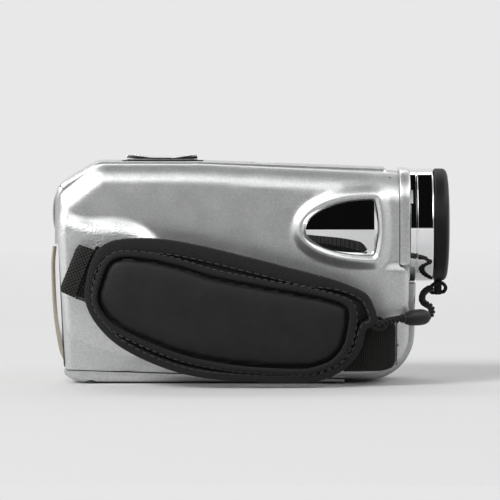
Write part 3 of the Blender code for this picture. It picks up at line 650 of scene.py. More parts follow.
def leather():
    look = Look("leather", (0.010, 0.010, 0.011), 0.5, Specular_IOR_Level=0.2)
    grain = look.cells(1500, feature="DISTANCE_TO_EDGE")
    look.mottled(160, 4, (0.25, (0.007, 0.007, 0.008)), (0.75, (0.013, 0.013, 0.014)))
    look.worn(900, 4, 0.44, 0.62)
    look.bump(look.ranged(grain, 0, 1, 0.0, 0.25), 0.035)
    look.bump(look.noise(4200, 3), 0.012)
    look.bump(look.noise(55, 3), 0.35)
    return look.material


def woven(name, dark, light, pitch_mm, depth_mm, turn=0.0):
    """A plain weave of two sets of threads, with painted shade in the dips between them."""
    look = Look(name, dark, 0.86, Specular_IOR_Level=0.1, Sheen_Weight=0.03, Sheen_Roughness=0.5)
    if turn:
        look.place = look.placed("Rotation", (0, -turn, 0))
    weave = look.math("MULTIPLY", look.threads("X", pitch_mm), look.threads("Z", pitch_mm))
    fibres = look.noise(5200, 4)
    height = look.math("ADD", weave, look.math("MULTIPLY", fibres, 0.9))
    # Colour follows the weave's height: darker where the threads dip, which is painted shade
    # between them, mixed with random fibre tone.
    look.colours(look.ranged(height, 0, 1, -0.9, 1.7), (0.1, dark), (0.9, light))
    look.rough(look.ranged(fibres, 0.76, 0.96))
    look.bump(height, depth_mm)
    return look.material


def fibrous(name, dark, light, depth_mm=0.04):
    """Yarn whose weave is real geometry: only its fibres are in the material."""
    look = Look(name, dark, 0.85, Specular_IOR_Level=0.2, Sheen_Weight=0.04,
                Sheen_Roughness=0.5)
    fibres = look.noise(6500, 4)
    look.colours(fibres, (0.3, dark), (0.75, light))
    look.worn(900, 2, 0.76, 0.94)
    look.bump(fibres, depth_mm)
    return look.material


SILVER = silver_paint()
# The band's pieces (top cover, rear frame, front plate) take a darker copy of the silver paint:
# painted shade for the grey the band's top shows by mirroring the dark above.
SHADED_BAND_SILVER = silver_paint("band_paint_painted_shade", 0.72)
PEBBLED_LIT = pebbled_lit_paint()
CHAMPAGNE = champagne()
CHROME = chrome()
SATIN_CHROME = chrome("satin_chrome", 0.07, 0.12)
BLACK = moulded_black()
BEAD_BLACK = moulded_black("bead_plastic", (0.011, 0.011, 0.012), 0.42, 0.015)
GLOSS_BLACK = gloss_black()
RUBBER = rubber()
STEEL = brushed("steel", (0.55, 0.55, 0.56), 0.30, (1, 1, 8))
BRASS = brushed("brass", (0.60, 0.45, 0.19), 0.34, (8, 8, 1))
GLASS = coated_glass()
BOARD = circuit_board()
SLEEVE = battery_sleeve()
LEATHER = leather()
FABRIC = woven("strap_fabric", (0.0025, 0.0025, 0.003), (0.042, 0.042, 0.043), 0.8, depth_mm=0.12)
WEBBING = fibrous("webbing_yarn", (0.004, 0.0038, 0.0035), (0.026, 0.025, 0.023))
REAR_WEBBING = woven("webbing_weave", (0.002, 0.002, 0.002), (0.050, 0.049, 0.046), 1.1,
                     depth_mm=0.15, turn=STRAP_TILT)
THREAD = fibrous("thread", (0.025, 0.025, 0.026), (0.12, 0.12, 0.122), 0.02)
CORD_YARN = fibrous("cord_yarn", (0.003, 0.003, 0.0035), (0.016, 0.016, 0.017), 0.03)


# --------------------------------------------------------------- the studio

def paper():
    """Pale paper, which shines evenly a little way from the object."""
    look = Look("paper", (0.80, 0.80, 0.80), 0.92, Specular_IOR_Level=0.1,
                Emission_Color=(1, 1, 1, 1))
    look.worn(4, 2, 0.88, 0.96)
    length = look.nodes.new("ShaderNodeVectorMath")
    length.operation = "LENGTH"
    look.links.new(look.place, length.inputs[0])
    away = look.ranged(length.outputs["Value"], 0, 1, 0.3, 0.9)
    glow = look.nodes.new("ShaderNodeEmission")
    glow.inputs["Strength"].default_value = BACKGROUND
    mix = look.nodes.new("ShaderNodeMixShader")
    look.links.new(away, mix.inputs[0])
    look.links.new(look.shader.outputs[0], mix.inputs[1])
    look.links.new(glow.outputs[0], mix.inputs[2])
    look.links.new(mix.outputs[0], look.nodes["Material Output"].inputs["Surface"])
    return look.material


def photographer():
    """A long lens a little above the camcorder's middle, square to its strap side."""
    scene = bpy.context.scene
    scene.view_settings.view_transform = "Standard"
    data = bpy.data.cameras.new("camera")
    data.sensor_width = 36
    data.lens = VIEW_LENS
    camera = linked("camera", data)
    away = Vector((0, -math.cos(VIEW_ELEVATION), math.sin(VIEW_ELEVATION))) * VIEW_REACH
    camera.location = VIEW_TARGET + away
    camera.rotation_euler = (-away).to_track_quat("-Z", "Y").to_euler()
    scene.camera = camera


def backdrop():
    """A level floor that curves up into a wall behind."""
    rows = [(FLOOR_FRONT, 0), (FLOOR_BACK, 0)]
    rows += [(FLOOR_BACK + FLOOR_TURN * (1 - across), FLOOR_TURN * along)
             for along, across in quarter(12)[1:]]
    rows.append((FLOOR_BACK + FLOOR_TURN, 3.0))
    verts, faces = loft([[(-4, y, z), (4, y, z)] for y, z in rows], closed_rings=False)
    mesh = bpy.data.meshes.new("floor")
    mesh.from_pydata(verts, [], faces)
    mesh.shade_smooth()
    floor = linked("floor", mesh)
    floor.data.materials.append(paper())


def lamps():
    for name, spot, aim, size, power in (
            ("key", (-2.5, -2.2, 2.4), (0, 0, 0.03), (1.5, 1.5), 104),
            ("fill", (2.6, -0.6, 2.2), (0, 0, 0.03), (1.6, 1.6), 15),
            ("back", (-0.6, 2.4, 2.6), (0, 0.2, 0), (2.0, 1.2), 25)):
        light = bpy.data.lights.new(name, "AREA")
        light.shape = "RECTANGLE"
        light.size, light.size_y = size
        light.energy = power
        made = linked(name, light)
        made.location = spot
        made.rotation_euler = (Vector(aim) - made.location).to_track_quat("-Z", "Y").to_euler()


def surroundings():
    """What the shiny pieces mirror. Everything else sees one even grey."""
    world = bpy.data.worlds.new("studio")
    bpy.context.scene.world = world
    world.use_nodes = True
    tree = world.node_tree
    nodes, links = tree.nodes, tree.links
    split = nodes.new("ShaderNodeSeparateXYZ")
    links.new(nodes.new("ShaderNodeTexCoord").outputs["Generated"], split.inputs[0])

    def ramp(axis, start, end, low, high):
        return ranged(tree, split.outputs[axis], low, high, start, end)

    def brighter(a, b):
        return computed(tree, "MAXIMUM", a, b)

    def chosen(share, without, when):
        """One value or another, by a share from 0 to 1."""
        node = nodes.new("ShaderNodeMix")
        node.data_type = "FLOAT"
        links.new(share, node.inputs[0])
        for socket, value in ((node.inputs[2], without), (node.inputs[3], when)):
            if isinstance(value, float):
                socket.default_value = value
            else:
                links.new(value, socket)
        return node.outputs[0]

    # A dark room with bright sides and a bright back, a lit ceiling with a dark strip
    # along its middle, and a pale floor.
    beside = brighter(ramp("X", 0.28, 0.9, 0.004, 0.8), ramp("X", -0.16, -0.75, 0.004, 1.15))
    behind = ramp("Y", 0.68, 0.84, 0.0, 0.9)
    ceiling = computed(tree, "MINIMUM", ramp("Z", 0.17, 0.46, 0.0, 2.95),
                       ramp("Z", 0.62, 0.92, 2.95, 0.5))
    across = computed(tree, "ABSOLUTE", split.outputs["X"])
    above = computed(tree, "MULTIPLY", ceiling, ranged(tree, across, 0.0, 1.0, 0.06, 0.11))
    below = ramp("Z", -0.07, -0.16, 0.0, 1.7)
    room = brighter(brighter(beside, behind), brighter(above, below))
    path = nodes.new("ShaderNodeLightPath")
    light = chosen(path.outputs["Is Glossy Ray"], 0.34, room)
    light = chosen(path.outputs["Is Camera Ray"], light, 0.80)
    links.new(light, nodes["Background"].inputs["Strength"])
    nodes["Background"].inputs["Color"].default_value = (1, 1, 1, 1)


# --------------------------------------------------------------------- cord

def tether():
    """A limp two-strand cord from the grip's front end, through a bead, to the cap."""
    rear = [(36.1, -34.1, 17.9), (37.3, -33.2, 18.2), (39.0, -31.4, 18.7), (41.0, -29.2, 19.0),
            (43.0, -26.95, 19.2)]
    front = [(50.7, -18.5, 19.2), (51.9, -16.2, 20.3), (51.6, -14.0, 21.8),
             (50.0, -11.6, 22.7), (49.4, -9.2, 23.8), (49.8, -6.8, 25.2),
             (51.0, -4.6, 26.2), (52.1, -3.0, 26.6)]
    through = [(45.5, -24.2, 19.2), (48.2, -21.2, 19.2)]
    route = resampled(spline(rear + through + front, 8), 0.22)
    points, frames = frames_along(route)
    strand, offset, pitch = 0.56, 0.48, 3.1
    groups = []
    for phase in (0, math.pi):
        line = []
        run = 0.0
        for i, (spot, (_, side, up)) in enumerate(zip(points, frames)):
            if i:
                run += (spot - points[i - 1]).length
            angle = phase + math.tau * run / pitch
            line.append(spot + (side * math.cos(angle) + up * math.sin(angle)) * offset)
        groups.append(tube_faces(line, strand, 8))
    cord = raw("tether_cord", *gather(groups), sharp=60)
    show(cord, CORD_YARN, None, "cord", "tether_rear", "tether_front")

    loops = (
        ("tether_loop", "lens_cap", 0.55, [
            (52.5, -0.7, 25.2), (54.2, 0.0, 25.3), (55.9, -0.7, 25.5), (56.4, -1.9, 26.8),
            (55.4, -2.5, 28.0), (53.7, -2.6, 28.0), (52.4, -2.4, 27.2), (52.0, -1.5, 26.0)]),
        ("tether_bight", "root", 0.5, [
            (35.0, -33.6, 16.9), (36.6, -33.9, 16.4), (38.0, -33.1, 16.9), (38.3, -31.6, 18.0),
            (37.4, -30.8, 19.1), (35.8, -31.2, 19.5), (34.9, -32.4, 18.8), (34.6, -33.4, 17.8)]))
    for name, body, radius, spots in loops:
        ring = resampled(spline(spots, 8, closed=True), 0.22, True)
        knot = raw(name, *gather([tube_faces(np.vstack([ring, ring[:2]]), radius, 8)]), sharp=60)
        show(knot, CORD_YARN, body, "cord")

    start, end = Vector(rear[-1]), Vector(front[0])
    axis = (end - start).normalized()
    length = (end - start).length
    bead = lathe("cord_bead_moulded", [
        (0.55, 0.0), (1.05, 0.0), (1.25, 0.25), (1.25, 0.9), (1.10, 1.1), (1.45, 1.5),
        (1.85, 2.4), (2.14, 3.6), (2.28, 5.2), (2.32, 6.8), (2.30, 8.4), (2.16, 9.6),
        (1.86, 10.5), (1.35, 11.1), (0.9, length), (0.55, length)],
        start, axis, steps=48, closed=True, sharp=50)
    show(bead, BEAD_BLACK, "root", "black_plastic", "cord_bead")

    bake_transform(cord)


# ------------------------------------------------------------------- casing

def split_height(x):
    """Height of the slant joint between the shells and the base tray."""
    share = (x - SPLIT_REAR[0]) / (SPLIT_FRONT[0] - SPLIT_REAR[0])
    return SPLIT_REAR[1] + share * (SPLIT_FRONT[1] - SPLIT_REAR[1])


def shell_outline():
    back = BEZEL_LOW.x - 0.14
    return rounded([
        (-53.2, split_height(-53.2), 1.3), (-54.8, 42.0, 0), (-54.1, 54.4, 3.0),
        (-43.7, SHELL_TOP, 6.0), (-14.0, SHELL_TOP, 0), (back, SHOULDER, 0.3),
        (back, STEP_Z, 0), (SHELL_HIGH.x, STEP_Z, 2.8),
        (SHELL_HIGH.x, SPLIT_FRONT[1], 12.5), (SPLIT_FRONT[0] + GAP, SPLIT_FRONT[1], 0)])


TOP_LINE = rounded([(-58.0, 51.0, 0), (-54.1, 54.4, 3.0), (-43.7, SHELL_TOP, 6.0),
                    (-14.0, SHELL_TOP, 0), (48.0, 59.9, 0)], closed=False)
REAR_LINE = np.array([(-52.6, -4.0), (-54.8, 42.0), (-54.2, 53.0)])
FRONT_LINE = rounded([(SHELL_HIGH.x, STEP_Z - 2.0, 0), (SHELL_HIGH.x, SPLIT_FRONT[1], 12.5),
                      (SPLIT_FRONT[0] - 8, SPLIT_FRONT[1] - 0.6, 0)], closed=False)
PALM = spline([(-62, 46.6), (-46, 46.8), (-37.0, 46.7), (-30.5, 44.8), (-25.6, 40.0),
               (-23.0, 32.0), (-22.0, 10.0), (-62, 0)], 6, closed=True)


def leaf_outline(grow=0.0, steps=16):
    """Two quarter ellipses that share a tip, and a bowed end."""
    x, z = LEAF_CENTRE
    outline = []
    for step in range(2 * steps + 1):
        angle = math.pi * (0.5 + step / (2 * steps))
        height = LEAF_RISE if step <= steps else LEAF_DROP
        outline.append((x + (LEAF_REACH + grow) * math.cos(angle),
                        z + (height + grow) * math.sin(angle)))
    middle = z + (LEAF_RISE - LEAF_DROP) / 2
    half = (LEAF_RISE + LEAF_DROP) / 2 + grow
    for step in range(9):
        share = step / 4 - 1
        outline.append((x + LEAF_END + grow + LEAF_END_BOW * (1 - share * share),
                        middle + half * share))
    return np.array(outline)


LEAF = resampled(leaf_outline(), 0.5, closed=True)


def rear_slot():
    """Where the rear webbing goes into the shell, turned with the webbing."""
    c, s = math.cos(STRAP_TILT), math.sin(STRAP_TILT)
    corners = [(-1.7, -8.0), (1.7, -8.0), (1.7, 8.0), (-1.7, 8.0)]
    return np.array([(REAR_SLOT[0] + u * c + v * s, REAR_SLOT[1] - u * s + v * c)
                     for u, v in corners])


def front_slot():
    (x0, z0), (x1, z1) = FRONT_SLOT
    return np.array([(x0, z0), (x1, z0), (x1, z1), (x0, z1)])


def rounding(away, width, radius=None):
    """Depth of a rounded edge, this far in from it. A larger radius makes it a partial arc."""
    radius = width if radius is None else radius
    reach = np.clip(width - away, 0, None)
    return radius - np.sqrt(np.clip(radius ** 2 - reach ** 2, 0, None))


def edge_depth(points):
    """How far the large rounded edges fall away from the flat side."""
    width = np.interp(points[:, 0], (-20, 22, 34, 42), (5.8, 6.8, 7.2, 9.0))
    parts = [rounding(distance(points, TOP_LINE), width, width * EDGE_SPREAD),
             rounding(distance(points, REAR_LINE), 2.5),
             rounding(distance(points, FRONT_LINE), 1.7)]
    return sum(part ** 4 for part in parts) ** 0.25


def strap_side(points):
    """Height of the strap side's surface above (+) or below (-) its flat face."""
    x, z = points[:, 0], points[:, 1]
    height = -edge_depth(points)
    height -= CROWN * ((z - WIDEST_Z) / 30) ** 2
    height -= REAR_DRAFT * (np.clip(DRAFT_X - x, 0, None) / 76) ** 2
    height += PALM_RISE * smooth((0.9 - signed(points, PALM)) / 4.6)
    height += STEP_RISE * smooth((STEP_Z + 1.6 - z) / 3.2) * smooth((x - 33) / 9)
    out = signed(points, LEAF)
    rim = np.where(out < RIM_CREST, 0.35 + 0.65 * smooth((out + 0.3) / (RIM_CREST + 0.3)),
                   1 - smooth((out - RIM_CREST) / (RIM_FOOT - RIM_CREST)))
    height += RIM_HEIGHT * rim
    height = np.where(out < 0.06, -LEAF_POCKET, height)
    for slot in (rear_slot(), front_slot()):
        height = np.where(signed(points, slot) < 0, -3.0, height)
    return height


def screen_side(points):
    """Height of the other side's surface, with the wells of its three keys and its port."""
    height = -edge_depth(points) - CROWN * ((points[:, 1] - WIDEST_Z) / 30) ** 2
    for key in KEYS:
        spot = middle(key)
        away = np.linalg.norm(points - np.array([spot.x, spot.z]), axis=1)
        height = np.where(away < 2.4, -1.6, height)
    return np.where(signed(points, port_mouth()) < 0, -2.6, height)


def port_mouth():
    """The hole round the USB socket."""
    low, high = own("usb_socket")
    return np.array([(low.x - 0.3, low.z - 0.4), (high.x + 0.3, low.z - 0.4),
                     (high.x + 0.3, high.z + 0.4), (low.x - 0.3, high.z + 0.4)])


def contour(loop, *offsets, spacing=0.8):
    """Points on lines this far outside a closed loop."""
    dense = resampled(loop, spacing, closed=True)
    normals = outward_normals(dense)
    return np.vstack([dense + normals * offset for offset in offsets])


def thinned(spots, exempt):
    """Spots without those too close to an earlier one. The first few are all kept."""
    kept, taken = [], {}
    for number, spot in enumerate(spots):
        column, row = math.floor(spot[0] / SPOT_CELL), math.floor(spot[1] / SPOT_CELL)
        near = [other for i in (-1, 0, 1) for j in (-1, 0, 1)
                for other in taken.get((column + i, row + j), [])]
        if number >= exempt and any(sum((other - spot) ** 2) < SPOT_SPACE for other in near):
            continue
        taken.setdefault((column, row), []).append(spot)
        kept.append(spot)
    return kept


def grid(low_x, high_x, low_z, high_z, spacing):
    """Flat points in even rows and columns."""
    us, vs = np.meshgrid(np.arange(low_x, high_x, spacing), np.arange(low_z, high_z, spacing))
    return np.stack([us.ravel(), vs.ravel()], axis=1)


def shell(name, relief, outward, face, back, features, fine):
    """A moulded side cover: a shaped skin, its rim, and a plain inner wall."""
    outline = resampled(shell_outline(), 0.9, closed=True)
    normals = outward_normals(outline)
    rings = []
    for turn in (3, 8, 14, 21, 29, 38, 48, 60, 75, 90):
        for radius in (0.35, 3.0, 6.0):
            pull = radius * (1 - math.cos(math.radians(turn)))
            if radius > 0.5 or turn in (29, 60, 90):
                ring = outline - normals * pull
                rings.append(ring[distance(ring, outline, True) > pull - 0.02])
    special = np.vstack(rings + features)
    spots = np.vstack([special, grid(*fine, 0.6), grid(-56, 46.5, 0, 63, 1.15)])
    spots = spots[inside(spots, outline) & (distance(spots, outline, True) > 0.012)]
    kept = thinned(spots, len(special))
    flat = [Vector(spot) for spot in outline] + [Vector(spot) for spot in kept]
    count = len(outline)
    made = delaunay_2d_cdt(flat, [], [list(range(count))], 1, 0.0005)
    skin = np.array([tuple(spot) for spot in made[0]])
    level = relief(skin)
    verts = [(u, face + outward * h, v) for (u, v), h in zip(skin, level)]
    faces = [tuple(triangle) for triangle in made[2]]
    rim = relief(outline)
    inner = outline - normals * RIM_WALL
    inner_face = face - outward * SHELL_DEEP
    walls = [[(u, face + outward * h, v) for (u, v), h in zip(outline, rim)],
             [(u, back + outward * 0.2, v) for u, v in outline],
             [(u, back, v) for u, v in outline - normals * 0.2],
             [(u, back, v) for u, v in inner],
             [(u, inner_face, v) for u, v in inner]]
    side_verts, side_faces = loft(walls, caps=False)
    side_faces.append(tuple(range(4 * count, 5 * count)))
    return raw(name, *gather([(verts, faces), (side_verts, side_faces)]), sharp=32)


def shells():
    leaf_lines = contour(LEAF, -0.05, 0.12, 0.4, 0.7, 1.0, 1.35, 1.75, 2.2, 2.7, 3.2, 3.7, 4.2,
                         spacing=0.7)
    inner_leaf = contour(LEAF, -1.2, spacing=1.4)
    slots = [contour(slot, -0.06, 0.06, 0.6, spacing=0.7) for slot in (rear_slot(), front_slot())]
    right = shell("right_shell_moulded", strap_side, -1, RIGHT_FACE, SHELL_HIGH.y,
                  [leaf_lines, inner_leaf, *slots], (20, 45, 30.5, 36.5))
    show(right, SILVER, "root", "silver", "right_shell")
    right.data.materials.append(PEBBLED_LIT)
    faces = right.data.polygons
    middles = np.zeros(len(faces) * 3)
    faces.foreach_get("center", middles)
    middles = (middles.reshape(-1, 3) - np.array(ORIGIN)) / MM
    # Faces under the palm bulge take the pebbled paint, whose lighter colour is painted light.
    pebbled_lit = (signed(middles[:, [0, 2]], PALM) < -1.2) & (middles[:, 1] < RIGHT_FACE + 1.0)
    faces.foreach_set("material_index", pebbled_lit.astype(np.int32))
    wells = [contour(port_mouth(), -0.06, 0.06, spacing=0.7)]
    turns = np.linspace(0, math.tau, 33)[:-1]
    ring = np.stack([np.cos(turns), np.sin(turns)], axis=1)
    for key in KEYS:
        centre = np.array([middle(key).x, middle(key).z])
        wells += [centre + ring * 2.34, centre + ring * 2.46]
    left = shell("left_shell_moulded", screen_side, 1, LEFT_FACE, LEFT_LOW.y,
                 wells, (-34, -26, 20, 46))
    show(left, SILVER, "root", "silver", "left_shell")


def sweep(name, route, inner, low_y, high_y, radius, steps=3):
    """A band under a route in X and Z, with its outer edges rounded."""
    along = np.gradient(route, axis=0)
    along /= np.linalg.norm(along, axis=1)[:, None]
    normals = np.stack([-along[:, 1], along[:, 0]], axis=1)
    section = [(inner, low_y), (inner, high_y)]
    section += [(-radius * across, high_y - radius * along)
                for along, across in quarter(steps)]
    section += [(-radius * across, low_y + radius * along)
                for along, across in quarter(steps)[::-1]]
    rings = []
    for (x, z), (nx, nz) in zip(route, normals):
        rings.append([(x + nx * out, y, z + nz * out) for out, y in section])
    return raw(name, *loft(rings), sharp=40)


def band():
    """The raised middle band, with the bay and the hole that its controls sit in."""
    top_z, sides = BAND_HIGH.z, (BAND_LOW.y, BAND_HIGH.y)
    whole = resampled(rounded([
        (-56.0, 39.7, 0), (-55.8, 56.3, 6.5), (-44.2, top_z, 6.0), (-14.0, top_z, 0),
        (38.6, top_z - 1.95, 0.8), (39.7, top_z - 3.1, 0.8),
        (BEZEL_LOW.x - GAP, top_z - 3.2, 0)], 8, closed=False), 0.4)
    top = sweep("top_cover_moulded", whole[whole[:, 1] > BAND_SPLIT], BAND_WALL, *sides,
                BAND_ROUND, 5)
    upper = sweep("rear_frame_moulded", whole[whole[:, 1] < BAND_SPLIT - 0.2], BAND_WALL, *sides,
                  BAND_ROUND, 5)
    behind = np.array([(-52.9, 4.7), (-54.0, 20.0), (-54.8, 40.2)])
    lower = sweep("rear_frame_lower", behind, -1.5, *sides, 0.3)

    low, high = own("record_button")
    centre = (0, middle("record_button").y, middle("record_button").z)
    carve(upper, rod("hole", (high.z - low.z) / 2 + 0.35, 60, 49, centre, (-1, 0, 0), 72))
    show(upper, SHADED_BAND_SILVER, "root", "silver", "rear_frame")
    show(lower, SHADED_BAND_SILVER, "root", "silver")

    low, high = own("rocker_tray")
    bay = brick("bay", (low.x - 0.35, low.y - 0.4, 50), (high.x + 0.4, high.y + 0.4, 70), 0.9, 3)
    centre = (middle("snapshot_button").x, middle("snapshot_button").y, 0)
    carve(top, bay, rod("hole", 3.9, 70, 55, centre, (0, 0, 1), 48))
    show(top, SHADED_BAND_SILVER, "root", "silver", "top_cover")


def front_plate():
    """The band's stretch below the lens and round the front-bottom corner."""
    low, high = own("front_plate")
    chin = rounded([(high.x, high.z, 0), (high.x - 0.6, low.z, 14.0), (27.4, low.z, 0)], 14,
                   closed=False)
    plate_front = sweep("front_plate_moulded", resampled(chin, 0.9), BAND_WALL, low.y, high.y, 0.8)
    for eye, radius in (("lamp", 2.6), ("microphone", 1.9)):
        centre = (0, middle(eye).y, middle(eye).z)
        carve(plate_front, rod("hole", radius, 50, 40, centre, (1, 0, 0), 40))
    show(plate_front, SHADED_BAND_SILVER, "root", "silver", "front_plate")


def rear_panel():
    low, high = own("rear_panel")
    face = spline([(-56.6, 39.1), (low.x, 33.0), (-56.4, 20.0), (-54.9, 10.0), (-53.6, 6.4)], 6)
    panel = sweep("rear_panel_moulded", resampled(face, 0.9)[::-1], -1.2, low.y, high.y, 0.5)
    show(panel, CHAMPAGNE, "root", "champagne", "rear_panel")


def base():
    """The bottom cover, drawn in under the shells' lower edges, with its door and pockets."""
    low, high = own("bottom_cover")
    right, left = low.y + BASE_INSET, high.y - BASE_INSET
    rear, turn, rise = -53.1, 7.0, 3.1          # the rounded corner at the rear
    stations = [rear + turn * (1 - math.cos(step * math.pi / 20)) for step in range(11)]
    stations += [*np.arange(rear + turn + 1.5, high.x, 2.0), high.x]
    rings = []
    for x in stations:
        top = split_height(x) - GAP
        bottom = low.z + rise * (1 - math.sqrt(1 - (max(rear + turn - x, 0.0) / turn) ** 2))
        radius = min(1.6, 0.8 * (top - bottom))
        arc = [(radius * along, bottom + radius * across) for along, across in quarter(5)]
        rings.append([(x, right, top), *((x, right + away, z) for away, z in arc),
                      *((x, left - away, z) for away, z in arc[::-1]), (x, left, top)])
    tray = raw("bottom_cover_moulded", *loft(rings))

    door_low, door_high = own("battery_door")
    cutters = [brick("door_opening", (door_low.x - GAP, door_low.y - GAP, -3),
                     (door_high.x + GAP, door_high.y + GAP, 12), 0)]
    holes = [("tripod_bush", GAP, 12), ("base_screw_1", GAP, 1.6), ("base_screw_2", GAP, 1.6)]
    holes += [(f"foot_{number}", 0.1, 1.4) for number in range(1, 5)]
    for node, spare, top in holes:
        near, far = own(node)
        spot = middle(node)
        cutters.append(rod(node + "_hole", (far.x - near.x) / 2 + spare, -3, top,
                           (spot.x, spot.y, 0), (0, 0, 1), 40))
    carve(tray, *cutters)
    show(tray, SILVER, "root", "silver", "bottom_cover")


# --------------------------------------------------------------- lens and cap

def bezel():
    """The block behind the lens: its cheeks carry on the shells' rounded shoulders."""
    low, high = BEZEL_LOW, BEZEL_HIGH
    band_low, band_high = BAND_LOW.y, BAND_HIGH.y
    shape = rounded([
        (low.y, STEP_Z + GAP, 1.0), (low.y, high.z - 2.6, 9.0), (low.y + 7.0, high.z, 4.0),
        (high.y - 7.0, high.z, 4.0), (high.y, high.z - 2.6, 9.0), (high.y, STEP_Z + GAP, 1.0),
        (band_high, STEP_Z + GAP, 0), (band_high, low.z, 1.2), (band_low, low.z, 1.2),
        (band_low, STEP_Z + GAP, 0)], 10)
    block = plate("front_bezel_moulded", shape, low.x, high.x, "YZ", 0.3, 3)
    carve(block, rod("way", 9.4, high.x + 3, low.x - 3, (0, 0, AXIS_Z), (1, 0, 0), 64))
    show(block, SILVER, "root", "silver", "front_bezel")


def hood():
    low, high = own("lens_hood")
    radius = (high.z - low.z) / 2
    back, front = low.x, high.x
    groove = back + 1.9
    profile = [(radius - 0.35, front), (radius - 0.1, front - 0.1), (radius, front - 0.35),
               (radius, front - 0.45), (radius, groove + 0.36), (radius, groove + 0.28),
               (radius - 0.3, groove + 0.1), (radius - 0.3, groove - 0.1),
               (radius, groove - 0.28), (radius, groove - 0.36), (radius, back + 0.2),
               (radius, back + 0.1), (radius - 0.1, back), (10.0, back), (10.0, back + 1.4),
               (12.6, back + 1.4), (12.6, front - 0.3), (12.9, front)]
    ring = lathe("lens_hood_turned", profile, (0, 0, AXIS_Z), (1, 0, 0), 160, closed=True, sharp=28)
    show(ring, CHROME, "root", "chrome", "lens_hood")
    rings = []
    for turn in np.linspace(math.radians(24), math.radians(39), 7):
        ring = []
        for x, out in ((back - 0.1, radius - 0.6), (back - 0.1, radius + 0.12),
                       (back + 0.7, radius + 0.12), (back + 0.8, radius - 0.6)):
            ring.append((x, -math.cos(turn) * out, AXIS_Z + math.sin(turn) * out))
        rings.append(ring)
    key = raw("hood_index", *loft(rings))
    show(key, SILVER, "root", "silver")


def cap():
    low, high = own("lens_cap")
    radius = (high.y - low.y) / 2
    front = high.x
    back = 52.9
    profile = [(0, front - 0.55), (8.6, front - 0.6), (9.0, front - 0.5), (9.25, front - 0.2),
               (9.7, front - 0.02), (12.4, front - 0.2), (14.4, front - 0.45),
               (15.3, front - 0.75), (radius - 0.25, front - 1.25), (radius, front - 1.9),
               (radius, back + 0.35), (radius - 0.3, back), (12.2, back), (12.2, back - 2.2),
               (12.0, back - 2.4), (11.0, back - 2.4), (11.0, back + 1.6), (0, back + 1.6)]
    disc = lathe("lens_cap_moulded", profile, (0, 0, AXIS_Z), (1, 0, 0), 160, sharp=40)
    tab = brick("tab", (53.1, -1.6, low.z), (55.3, 1.6, AXIS_Z - 14.0), 0.5)
    carve(disc, tab, operation="UNION")
    carve(disc, rod("eye", 0.6, 4, -4, (54.2, 0, AXIS_Z - 18.9), (1, 0, 0), 20))
    show(disc, BLACK, "lens_cap", "black_plastic", "lens_cap")


def leaf():
    """The mirror leaf: an upper and a lower facet that meet in a level ridge."""
    ridge = RIGHT_FACE - LEAF_RIDGE
    floor = RIGHT_FACE + LEAF_POCKET - 0.05
    outer = resampled(leaf_outline(-0.05), 0.45, closed=True)
    flat = outer - outward_normals(outer) * 0.15

    def level(x, z):
        tilt = LEAF_TILTS[0]
        if z <= LEAF_CENTRE[1]:
            tilt = LEAF_TILTS[1] + LEAF_TWIST * (LEAF_TURN - x)
        back = max(0.0, x - LEAF_TURN) * 0.9
        return min(ridge + (z - LEAF_CENTRE[1]) * math.tan(tilt) + back, floor - 0.3)

    tip, end = flat[:, 0].min() + 0.02, flat[:, 0].max() - 0.02
    count = 24
    spine = [(x, LEAF_CENTRE[1]) for x in np.linspace(tip, end, count)]
    turn = [(LEAF_TURN, z) for z in np.linspace(LEAF_CENTRE[1] - LEAF_DROP + 0.6,
                                                LEAF_CENTRE[1] + LEAF_RISE - 0.6, count)]
    turn = [spot for spot in turn if abs(spot[1] - LEAF_CENTRE[1]) > 0.2]
    loop = [Vector(spot) for spot in flat]
    start = len(loop)
    edges = [(start + i, start + i + 1) for i in range(count - 1)]
    edges += [(start + count + i, start + count + i + 1) for i in range(len(turn) - 1)]
    made = delaunay_2d_cdt(loop + [Vector(spot) for spot in spine + turn], edges,
                           [list(range(len(loop)))], 1, 0.0005)
    face_verts = [(spot.x, level(spot.x, spot.y), spot.y) for spot in made[0]]
    face = (face_verts, [tuple(triangle) for triangle in made[2]])
    rings = [[(x, floor, z) for x, z in outer],
             [(x, level(x, z) + 0.25, z) for x, z in outer],
             [(x, level(x, z), z) for x, z in flat]]
    verts, faces = loft(rings, caps=False)
    faces.append(tuple(range(len(outer))))
    made = raw("leaf_insert_polished", *gather([(verts, faces), face]), sharp=6)
    show(made, CHROME, "root", "chrome", "leaf_insert")


# ------------------------------------------------------------------ controls

def rocker():
    """The dished zoom rocker, with three grip ridges at each end."""
    low, high = own("rocker_cap")
    x = (low.x + high.x) / 2
    half = (high.x - low.x) / 2
    top, bottom = high.z, low.z
    waist = bottom + 0.75
    side = rounded([(x - half + 0.5, bottom, 0.25), (x - half, top, 0.5), (x - 8.0, top, 2.5),
                    (x - 2.5, waist, 7.0), (x + 2.5, waist, 7.0), (x + 8.0, top, 2.5),
                    (x + half, top, 0.5), (x + half - 0.5, bottom, 0.25)], 8)
    made = plate("rocker_cap_polished", side, low.y, high.y, "XZ", 0.22, 3, sharp=30)
    show(made, SATIN_CHROME, "zoom_rocker", "chrome", "rocker_cap")
    ridges = []
    for end in (-1, 1):
        for step in range(3):
            at = x + end * (8.6 - 0.9 * step)
            line = [(at, low.y + 2.0, top + 0.02), (at, high.y - 2.0, top + 0.02)]
            ridges.append(tube_faces(line, 0.16, 8))
    grip = raw("rocker_ridges", *gather(ridges), sharp=60)
    show(grip, SATIN_CHROME, "zoom_rocker", "chrome")


